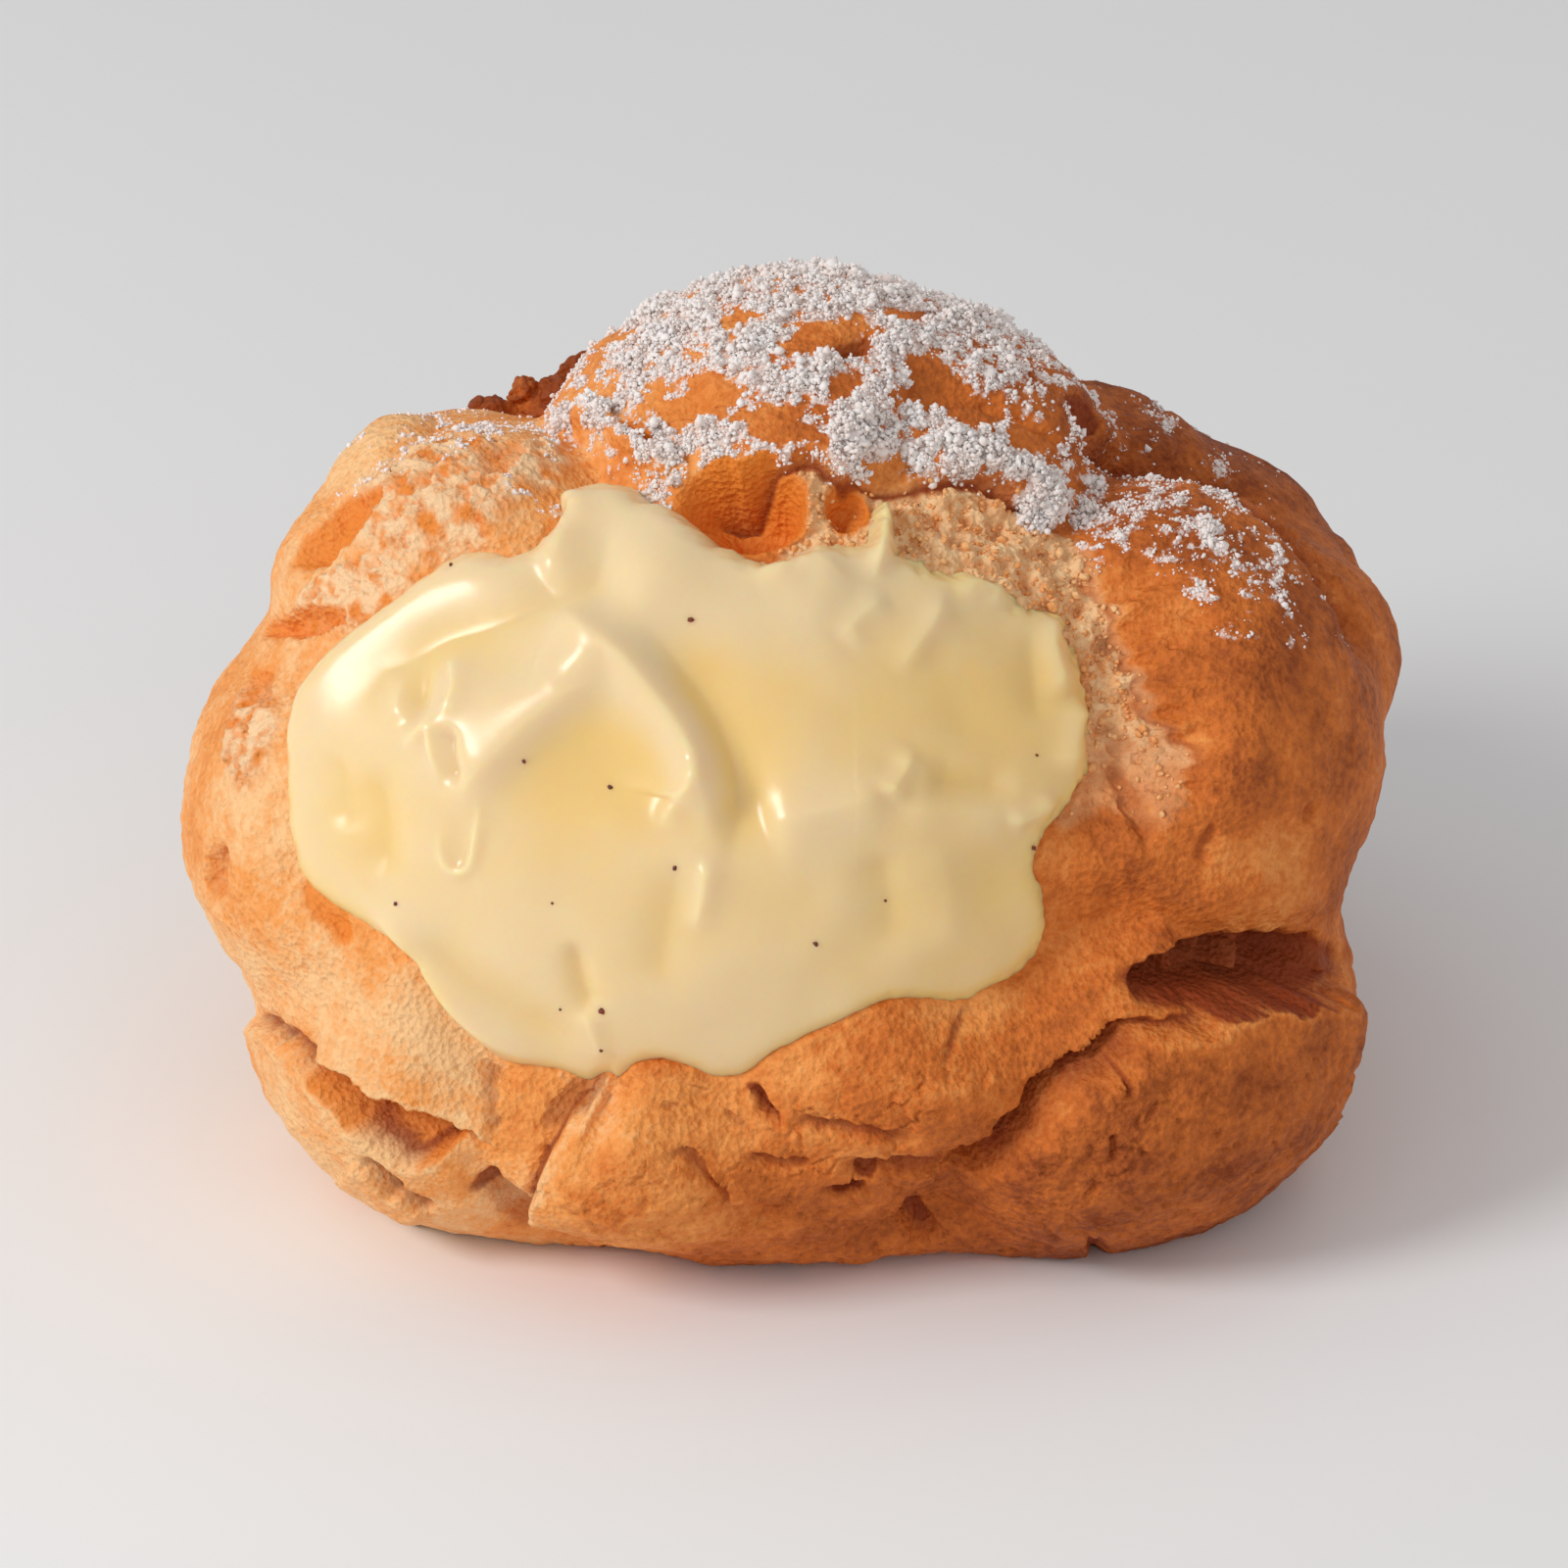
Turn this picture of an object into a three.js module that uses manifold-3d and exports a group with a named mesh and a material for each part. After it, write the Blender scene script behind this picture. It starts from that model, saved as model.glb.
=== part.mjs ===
// A large cream puff: a lobed choux shell, torn open at the front, filled with custard.
// Millimetres. +Z is up, the torn side faces -Y, and the flat underside stands on Z = 0.
//
// Both bodies are balls of fine triangles whose points are moved along their own rays from the heart of
// the puff. The shell's ray length comes from the lobes that the dough blew up into, less the bite that
// the tear takes out. The custard fills the cavity and bulges out of the tear.
import * as THREE from "three";
import { mergeVertices } from "three/addons/utils/BufferGeometryUtils.js";
import Module from "manifold-3d";

const HEART = new THREE.Vector3(0, 0, 25.7); // every ray starts here
const CREASE_SOFTNESS = 3; // how far the fold between two lobes is rounded
const WALL = 6.5; // thickness of the baked wall round the cavity
const FIT_GAP = 0.5; // along a ray, between the custard and the wall; 0.3 or more across it
const SHELL_DETAIL = 16; // how often each side of the starting icosahedron is split
const CUSTARD_DETAIL = 10;

// The tear looks forwards and up. Its own plane has U to the right, V up the slope and W out of the puff.
const TEAR_TILT = THREE.MathUtils.degToRad(28);
const TEAR_U = new THREE.Vector3(1, 0, 0);
const TEAR_V = new THREE.Vector3(0, Math.sin(TEAR_TILT), Math.cos(TEAR_TILT));
const TEAR_W = new THREE.Vector3(0, -Math.cos(TEAR_TILT), Math.sin(TEAR_TILT));
const TEAR_FACE = 6; // width of the broken, crumbly face round the custard
const TEAR_SINK = 5; // how deep the dough dips under the custard inside the tear
const TEAR_SINK_RUN = 3; // how far inside the edge that dip is reached
const EDGE_ROLL = 2.5; // half the width over which the custard rolls under at its edge

// Lobes of the choux: centre and half sizes.
const LOBES = [
  { name: "core", at: [0, 0, 27], half: [34, 30, 26] },
  { name: "crown", at: [0, 5, 42], half: [20.5, 18, 19.5] },
  { name: "right shoulder", at: [26, -3, 31], half: [16.5, 20, 18.5] },
  { name: "back ridge", at: [27, 15, 29], half: [16.3, 16, 15.5] },
  { name: "left shoulder", at: [-22, 6, 36], half: [15, 15, 14] },
  { name: "left cheek", at: [-25, -3, 25], half: [18.8, 22, 18.8] },
  { name: "lower left", at: [-17, -8, 14.5], half: [20, 19.5, 16.5] },
  { name: "lower right", at: [20.5, -9.5, 15], half: [20, 20.5, 16.5] },
  { name: "belly", at: [-2, -16, 15.5], half: [21, 19.5, 16] },
  { name: "rear", at: [-2, 16, 26], half: [31, 23, 23] },
  { name: "rear left", at: [-18, 21, 20], half: [19, 18, 17] },
  { name: "rear right", at: [15, 26, 17], half: [19, 17, 15] },
  { name: "rear crown", at: [-1, 23, 36], half: [18, 16, 13] },
  { name: "foot", at: [0, 0, 9], half: [34, 31, 13] },
];

// Round forms along the tear's own directions: the custard's bulge, and a gauge that runs close to the
// edge of the tear, on which a ray's place against that edge is read.
const BULGE = { at: [-6, -1, 2], half: [37, 29, 29] };
const GAUGE = { at: [0, 0, 0], half: [56, 36, 24] };

// Edge of the tear in its plane, [U, V], anticlockwise from the right-hand side.
const TEAR_EDGE = [
  [20.5, 2.5], [21, 7.5], [20, 13], [16.5, 15.5], [11.5, 16.5], [8, 17.5], [6, 20], [4, 17],
  [0, 15.5], [-3.5, 15.5], [-7, 18], [-10.5, 21], [-14.5, 21.5], [-17, 18.5], [-23, 15.5], [-29, 12.5],
  [-34, 9], [-37, 3.5], [-36, -2], [-34, -8], [-29, -10], [-24, -11], [-22, -14],
  [-20, -17], [-15.5, -18.5], [-10, -19.5], [-6.5, -18.5], [-2.5, -19], [2, -16.5], [9, -15],
  [14, -14.5], [17.5, -12.5], [18, -9], [16.5, -5], [19, -2],
];

// Splits where the lower crust broke away from the stretched dough: a path in the tear's plane, with
// its depth and half width.
const CRACKS = [
  {
    path: [[39, -11], [32, -14], [25, -17], [19, -20], [13, -24.5], [6, -27.5], [1, -27]],
    depth: 2.6, half: 2.8,
  },
  {
    path: [[-37, -16], [-31, -19.5], [-25, -23.5], [-19, -25.5], [-15, -24], [-12, -21.5]],
    depth: 2.2, half: 2.6,
  },
  { path: [[-19, -25.5], [-16.5, -29.5], [-15.5, -33]], depth: 1.6, half: 2.2 },
];

// Folds that the spoon left in the custard: a path in the tear's plane, with its rise and half width.
const FOLDS = [
  { path: [[-23.4, -2], [-20, 2.3], [-16.3, 5.8], [-13, 8.5]], rise: 1.5, half: 2.2 },
  { path: [[-18, 12], [-11.6, 8.6], [-8, 4], [-6.5, -1.8], [-9, -6]], rise: 2.2, half: 2.6 },
  { path: [[-36, 0], [-34, 8], [-27, 13], [-18, 16], [-14, 20]], rise: 1.2, half: 3 },
  { path: [[-3, -4], [3, -1.5], [8, 0], [17, -1]], rise: 0.9, half: 2.4 },
  { path: [[-29, -10], [-24, -14.5], [-18, -19]], rise: 0.9, half: 2.6 },
];

// Scoops and dents: centre in the tear's plane, half sizes and depth.
const DENTS = [
  { at: [-15, -1], half: [6.5, 6], depth: 1.8 },
  { at: [-26.5, 4.5], half: [2.6, 4], depth: 1.6 },
  { at: [-19, 11], half: [8, 3.5], depth: 1 },
  { at: [-3.6, 2], half: [2.6, 7], depth: 1.2 },
  { at: [6, 7], half: [9, 5], depth: 0.8 },
];

const ramp = (low, high, x) => THREE.MathUtils.smoothstep(x, low, high);
const hump = (distance) => Math.exp(-distance * distance);

// The distance along a ray from the heart to the far side of an ellipsoid, or 0 where it misses.
function reach(direction, centre, half) {
  let a = 0;
  let b = 0;
  let c = -1;
  for (let k = 0; k < 3; k++) {
    const d = direction[k] / half[k];
    const o = centre[k] / half[k];
    a += d * d;
    b += d * o;
    c += o * o;
  }
  const root = b * b - a * c;
  return root <= 0 ? 0 : Math.max(0, (b + Math.sqrt(root)) / a);
}

// The larger of two lengths, rounded where they meet.
function softMax(a, b, softness) {
  const overlap = Math.max(softness - Math.abs(a - b), 0);
  return Math.max(a, b) + (overlap * overlap) / (4 * softness);
}

function lobedRadius(d) {
  const direction = d.toArray();
  let radius = 0;
  for (const lobe of LOBES) {
    const centre = new THREE.Vector3(...lobe.at).sub(HEART).toArray();
    radius = softMax(radius, reach(direction, centre, lobe.half), CREASE_SOFTNESS);
  }
  return radius;
}

// A closed smooth curve through the tear's corner points, as short straight steps.
const tearLine = new THREE.CatmullRomCurve3(
  TEAR_EDGE.map(([u, v]) => new THREE.Vector3(u, v, 0)), true,
).getPoints(TEAR_EDGE.length * 6);

// An open smooth curve through a path's points, as short straight steps.
function smoothLine({ path }) {
  const points = path.map(([u, v]) => new THREE.Vector3(u, v, 0));
  return new THREE.CatmullRomCurve3(points).getPoints(path.length * 5);
}
const foldLines = FOLDS.map(smoothLine);
const crackLines = CRACKS.map(smoothLine);

function distanceToLine(point, line) {
  const step = new THREE.Line3();
  const nearest = new THREE.Vector3();
  let best = Infinity;
  for (let i = 1; i < line.length; i++) {
    step.set(line[i - 1], line[i]).closestPointToPoint(point, true, nearest);
    best = Math.min(best, nearest.distanceTo(point));
  }
  return best;
}

// How far a point of the tear's plane lies inside the tear's edge; outside it the distance is negative.
function insideTear(point) {
  let inside = false;
  for (let i = 1; i < tearLine.length; i++) {
    const a = tearLine[i - 1];
    const b = tearLine[i];
    if (a.y > point.y !== b.y > point.y) {
      const crossing = a.x + ((point.y - a.y) / (b.y - a.y)) * (b.x - a.x);
      if (point.x < crossing) inside = !inside;
    }
  }
  return (inside ? 1 : -1) * distanceToLine(point, tearLine);
}

// How deep the baked crust is split at a point of its front.
function crackDepth(point) {
  let depth = 0;
  CRACKS.forEach((crack, i) => {
    depth += crack.depth * hump(distanceToLine(point, crackLines[i]) / crack.half);
  });
  return depth;
}

// Height of the spoon's folds and dents over the custard's round bulge.
function foldRise(point) {
  let rise = 0;
  FOLDS.forEach((fold, i) => {
    rise += fold.rise * hump(distanceToLine(point, foldLines[i]) / fold.half);
  });
  for (const dent of DENTS) {
    const across = Math.hypot((point.x - dent.at[0]) / dent.half[0], (point.y - dent.at[1]) / dent.half[1]);
    rise -= dent.depth * hump(across);
  }
  return rise;
}

// Everything that both bodies need to know about one ray.
function look(d) {
  const inTear = [d.dot(TEAR_U), d.dot(TEAR_V), d.dot(TEAR_W)];
  const lobes = lobedRadius(d);
  const bulge = reach(inTear, BULGE.at, BULGE.half);
  const gauge = reach(inTear, GAUGE.at, GAUGE.half);
  const atLength = (length) => new THREE.Vector3(inTear[0] * length, inTear[1] * length, 0);
  const faces = inTear[2] > 0;
  return {
    lobes,
    bulge,
    depth: faces ? insideTear(atLength(gauge)) : -Infinity,
    onCrust: faces ? atLength(lobes) : null,
    onCustard: atLength(bulge),
  };
}

function shellRadius(d) {
  const { lobes, bulge, depth, onCrust } = look(d);
  const crust = onCrust ? lobes - crackDepth(onCrust) : lobes;
  if (depth <= -TEAR_FACE) return crust;
  const broken = THREE.MathUtils.lerp(crust, bulge, ramp(-TEAR_FACE, 0, depth));
  return broken - TEAR_SINK * ramp(0, TEAR_SINK_RUN, depth);
}

function custardRadius(d) {
  const { lobes, bulge, depth, onCustard } = look(d);
  const cavity = lobes - WALL;
  if (depth <= -EDGE_ROLL) return cavity;
  const shown = bulge + foldRise(onCustard) * ramp(0, 2 * EDGE_ROLL, depth);
  return THREE.MathUtils.lerp(cavity, shown, ramp(-EDGE_ROLL, EDGE_ROLL, depth));
}

// A ball of fine triangles round the heart, with each point at its own radius.
function blownBall(detail, radius) {
  const geometry = new THREE.IcosahedronGeometry(1, detail);
  geometry.deleteAttribute("normal");
  geometry.deleteAttribute("uv");
  const ball = mergeVertices(geometry);
  const points = ball.getAttribute("position");
  const d = new THREE.Vector3();
  for (let i = 0; i < points.count; i++) {
    d.fromBufferAttribute(points, i).normalize();
    const r = radius(d);
    d.multiplyScalar(r).add(HEART);
    points.setXYZ(i, d.x, d.y, d.z);
  }
  return ball;
}

const wasm = await Module();
wasm.setup();

function toSolid(geometry) {
  return new wasm.Manifold(new wasm.Mesh({
    numProp: 3,
    vertProperties: new Float32Array(geometry.getAttribute("position").array),
    triVerts: new Uint32Array(geometry.index.array),
  }));
}

function toGeometry(solid) {
  const mesh = solid.getMesh();
  const geometry = new THREE.BufferGeometry();
  geometry.setAttribute("position", new THREE.BufferAttribute(mesh.vertProperties, 3));
  geometry.setIndex(new THREE.BufferAttribute(mesh.triVerts, 1));
  geometry.computeVertexNormals();
  return geometry;
}

// The largest of the bodies that a cut leaves.
function largestBody(solid) {
  return solid.decompose().reduce((a, b) => (a.volume() > b.volume() ? a : b));
}

// The flat tray that the puff was baked on, with its top at Z = 0.
function bakingTray() {
  const box = new THREE.BoxGeometry(200, 200, 100).translate(0, 0, -50);
  box.deleteAttribute("normal");
  box.deleteAttribute("uv");
  return toSolid(mergeVertices(box));
}

const custard = toSolid(blownBall(CUSTARD_DETAIL, custardRadius));
const cavity = toSolid(blownBall(CUSTARD_DETAIL, (d) => custardRadius(d) + FIT_GAP));
const outside = toSolid(blownBall(SHELL_DETAIL, shellRadius));
const shell = largestBody(outside.subtract(cavity).subtract(bakingTray()));

const choux = new THREE.Mesh(
  toGeometry(shell),
  new THREE.MeshStandardMaterial({ color: 0xc68248, roughness: 0.8, metalness: 0 }),
);
choux.name = "choux_shell";

const filling = new THREE.Mesh(
  toGeometry(custard),
  new THREE.MeshStandardMaterial({ color: 0xf0dca0, roughness: 0.35, metalness: 0 }),
);
filling.name = "custard_filling";

// The puff stands centred on the origin.
const puff = new THREE.Group();
puff.add(choux, filling);
const box = new THREE.Box3().setFromObject(puff, true);
const middle = box.getCenter(new THREE.Vector3());
puff.position.set(-middle.x, -middle.y, -box.min.z);

export default puff;
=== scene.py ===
"""The looks of a large cream puff: baked choux, custard, icing sugar, crumbs and vanilla seeds.

Shapes are worked out in millimetres round the heart of the puff, and put into meshes in metres.
"""
import itertools
import math

import bmesh
import bpy
import numpy as np
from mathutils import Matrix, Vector


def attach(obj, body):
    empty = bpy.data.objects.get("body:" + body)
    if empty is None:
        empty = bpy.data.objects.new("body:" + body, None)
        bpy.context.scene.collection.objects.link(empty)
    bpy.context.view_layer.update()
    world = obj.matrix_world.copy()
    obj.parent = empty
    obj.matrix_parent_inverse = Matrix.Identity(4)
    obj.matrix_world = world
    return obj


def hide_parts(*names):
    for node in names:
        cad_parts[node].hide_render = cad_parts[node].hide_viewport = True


bl_info = {
    "name": "Cream Puff",
    "version": (1, 0, 0),
    "blender": (4, 5, 0),
    "location": "3D View > Sidebar > Cream Puff",
    "description": "Bakes a torn, custard-filled cream puff dusted with icing sugar",
    "category": "Object",
}

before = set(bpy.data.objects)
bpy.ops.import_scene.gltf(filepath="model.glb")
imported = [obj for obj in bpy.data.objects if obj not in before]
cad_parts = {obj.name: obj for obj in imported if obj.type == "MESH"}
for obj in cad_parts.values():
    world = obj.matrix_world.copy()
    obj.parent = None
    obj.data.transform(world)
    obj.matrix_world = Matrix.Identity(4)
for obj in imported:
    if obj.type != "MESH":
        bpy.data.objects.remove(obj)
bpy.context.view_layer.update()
MM = 0.001

# ---------------------------------------------------------------- the puff's plan, in millimetres

HEART = np.array([0.25, -4.66, 25.7])  # every ray starts here, in the frame of the CAD part
CREASE_SOFTNESS = 2.2  # how far the fold between two lobes is rounded
TEAR_TILT = math.radians(28)  # the tear looks forwards and this much up
TEAR_AXES = np.array([
    [1, 0, 0],
    [0, math.sin(TEAR_TILT), math.cos(TEAR_TILT)],
    [0, -math.cos(TEAR_TILT), math.sin(TEAR_TILT)],
])  # U to the right, V up the slope, W out of the puff

# Lobes of the choux: centre from the tray's middle under the heart, and half sizes.
LOBES = {
    "core": ((0, 0, 27), (34, 28, 26)),
    "crown": ((0, 5, 42), (20.2, 18, 19.5)),
    "crown right": ((9, 6, 42), (15, 15, 16.3)),
    "crest": ((20, 14, 36), (13.5, 13, 13)),
    "ear": ((31.5, 6, 33), (12, 12, 9)),
    "back ridge": ((27, 15, 29), (15.5, 16, 15.3)),
    "right shoulder": ((26, -3, 31), (15.7, 20, 18.5)),
    "left shoulder": ((-23, 2, 36), (14.8, 17, 15.9)),
    "flap": ((-21, -4, 43), (11, 11, 11)),
    "flap tip": ((-27.8, 3, 45.2), (5.0, 6, 7.2)),
    "flap side": ((-31.2, 0, 41.6), (5.2, 6, 5.2)),
    "left cheek": ((-25, -3, 24.8), (18.9, 22, 17.0)),
    "lower left": ((-19.5, -10, 14), (19, 20, 16.5)),
    "left band": ((-22, -20, 21), (9, 9, 9)),
    "plate": ((-10, -25.4, 12), (11, 9, 9)),
    "belly": ((-3, -15, 12), (20, 17.6, 13.6)),
    "lip": ((5, -23.5, 16.7), (14, 9.5, 9.5)),
    "lower right": ((20.5, -9.5, 13), (19.6, 21.5, 16.5)),
    "rear": ((-2, 16, 26), (31, 23, 23)),
    "rear left": ((-18, 21, 20), (19, 18, 17)),
    "rear right": ((15, 26, 17), (19, 17, 15)),
    "rear crown": ((-1, 23, 36), (18, 16, 13)),
    "foot": ((0.8, -0.8, 4), (38.3, 27, 8)),
}

BULGE = ((-6, -1, 2), (37, 29, 29))  # the custard's round form, along the tear's axes

# Edge of the custard, (U, V) on its round form, anticlockwise from the right-hand side.
TEAR_EDGE = [
    (20.8, 2.5), (20.6, 5.5), (20.2, 8), (19, 9.8), (18.8, 11.5), (16.2, 12.2), (15.6, 12.9), (13.5, 13.9),
    (12, 14.3), (10.2, 14.4), (8.6, 15.2), (7.2, 15.7), (6.9, 17.4), (6.5, 19), (5.9, 19), (5.4, 17.8),
    (5.1, 16.5), (4.2, 16.2), (1.4, 16.2), (0.2, 15.4), (-1, 15), (-2.8, 15.1), (-4.9, 15.9), (-6.6, 16.9),
    (-8.2, 18.3), (-9.6, 19.3), (-10.8, 19.4), (-12, 20.5), (-14.4, 20.8), (-16.6, 19.7), (-16, 18.3),
    (-17.1, 16.9), (-20, 15.4), (-22.4, 15.8), (-24.8, 14.8), (-28.4, 12), (-31.3, 9.9), (-33.8, 7.2),
    (-35.4, 4.4), (-36, 1.5), (-36, -2.5), (-35.4, -5.2), (-34.8, -7.2), (-32.6, -9.3), (-29.2, -11.1),
    (-26.6, -12.4), (-25.4, -14.4), (-23.8, -17), (-21.6, -19.4), (-20, -20.4), (-17, -20.9), (-14.4, -21.8),
    (-13.1, -21.2), (-12.3, -21.8), (-10.2, -20.2), (-7.8, -20.6), (-6, -21.4), (-3.6, -21.4), (-1.2, -19.6),
    (0.4, -18.8), (3.8, -17.2), (6.4, -16), (11, -16.3), (13.6, -15.2), (16, -13.8), (17.6, -11.4),
    (17.7, -8.5), (17.1, -6.2), (17.8, -4), (19.4, -1.8), (20.6, 0),
]
TEAR_MIDDLE = (-8, 0)
# Round the tear from its right-hand side, in degrees: how wide the broken face is, how crumbly, and how
# far the dough at the custard's edge stands above the custard's round form.
FACE_TURN = [0, 10, 20, 30, 40, 52, 65, 85, 100, 115, 135, 180, 205, 235, 265, 300, 325, 340, 352, 360]
FACE_WIDTH = [3.4, 3.6, 3.8, 3.8, 4, 4, 4, 4, 2.2, 2.2, 2.2, 2.2, 2.2, 2.2, 2.4, 2.6, 2.6, 2.6, 3, 3.4]
FACE_CRUMB = [1, 1, 1, 1, 1, 0.9, 0.7, 0.6, 0.3, 0.3, 0.3, 0.1, 0.1, 0.05, 0, 0.05, 0.25, 0.5, 0.8, 1]
FACE_LEVEL = [0, 0, 0, -0.3, -0.6, -1, -1.6, -1.8, -1.4, -1.2, -1.2, -1, -0.4, 0, 0.5, 0.5, 0.2, 0, 0, 0]
# Outline, on the crust, of the torn face where the spongy inside of the dough shows.
CRUMB_EDGE = [
    (-0.6, 14), (-0.4, 20), (1.2, 21), (2.6, 20.4), (4.6, 20.6), (8.5, 20.6), (12.6, 20.3), (15, 19),
    (17, 17.7),
    (18.8, 16.4), (22.2, 13.9), (24, 11.7), (25.3, 10.2), (26.4, 8.3), (27, 6), (27.4, 3.4), (28.4, 1.6),
    (27.6, -0.6), (26.6, -2.6), (25.4, -3.4), (24.2, -3.6), (22.6, -2.4), (20.4, -2.4), (18, -3.6), (16, 0),
    (16, 9), (8, 12),
]
TEAR_SINK = 5  # how deep the dough dips under the custard
TEAR_SINK_RUN = 3  # how far inside the edge that dip is reached
WALL = 6.5  # thickness of the choux round the custard
WALL_GAP = 0.5  # how far the hidden custard keeps off it
BEAD = 4.5  # how high the custard's rounded edge stands above its hidden flank
BEAD_START = -0.9  # where that edge starts, inside the tear, and how wide it is
BEAD_RUN = 2.6
CRUST_DETAIL = 7  # how finely the two balls are cut up, before their busy parts are cut again
CUSTARD_DETAIL = 6

# Plates of crust that stand proud along a path. The plate lies on the right of the way along it, and
# some plates cover the near side of a hollow.
LEDGES = [
    dict(path=[(9, -27.6), (12.5, -27), (15, -25.1), (17, -23), (18.3, -21.6), (19.2, -20.4), (20.9, -19.8),
               (22, -19.2), (22.7, -18.2), (23.6, -17.5), (26, -17.2), (28, -17.1), (28.8, -16.3),
               (30, -15.9),
               (32, -15.4), (33.8, -15.7), (35.4, -15.1), (37, -15.7), (38.4, -14.9), (40, -16)],
         rise=2.0, run=11, covers=4),
    dict(path=[(-18.4, -31.5), (-17.5, -27.5), (-16.6, -25.1), (-15, -23.5), (-14, -21.9)], rise=1.3, run=8),
    dict(path=[(-39, -16.9), (-37.2, -17.7), (-34.6, -18.9), (-32.6, -20.7), (-31.2, -22.2), (-30, -23.8),
               (-28.8, -24.9), (-27.3, -25.7), (-25.9, -26.2), (-24.2, -25.8), (-22.8, -24.8)],
         rise=1.4, run=6, covers=1.5),
    dict(path=[(-20.8, -25.4), (-22.6, -24.2), (-25.1, -22.8), (-27.7, -21.7), (-30, -20.5), (-31.6, -19.8),
               (-33.6, -19.2)], rise=1.0, run=5, covers=2),
    dict(path=[(-29.8, -25.9), (-28.8, -27), (-27.4, -28.2), (-26.2, -29.1), (-25.2, -30)], rise=0.8, run=3),
    dict(path=[(18.6, 17.4), (17, 18), (15.1, 19.2), (12.8, 20.5), (9.6, 20.8), (6.9, 20.7), (4.4, 20.9),
               (2.5, 20.6), (0.6, 21.4), (-2.4, 20.9), (-5, 20.5), (-7.4, 20.4)], rise=1.4, run=6, covers=4),
    dict(path=[(28, -3.5), (28.8, 1.6), (27.8, 3.4), (27, 6), (26.4, 8.3), (25.3, 10.2), (24, 11.9),
               (22.2, 13.9), (18.8, 16.6)], rise=0.7, run=4),
    dict(path=[(13.2, -15.4), (12.4, -16.6), (11.4, -18.6), (10.4, -20.1)], rise=-0.35, run=2.5),
    dict(path=[(7.9, -24.8), (7.2, -23.2), (7, -22), (9.6, -21.2), (13, -20.6)], rise=0.35, run=4),
]

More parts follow.
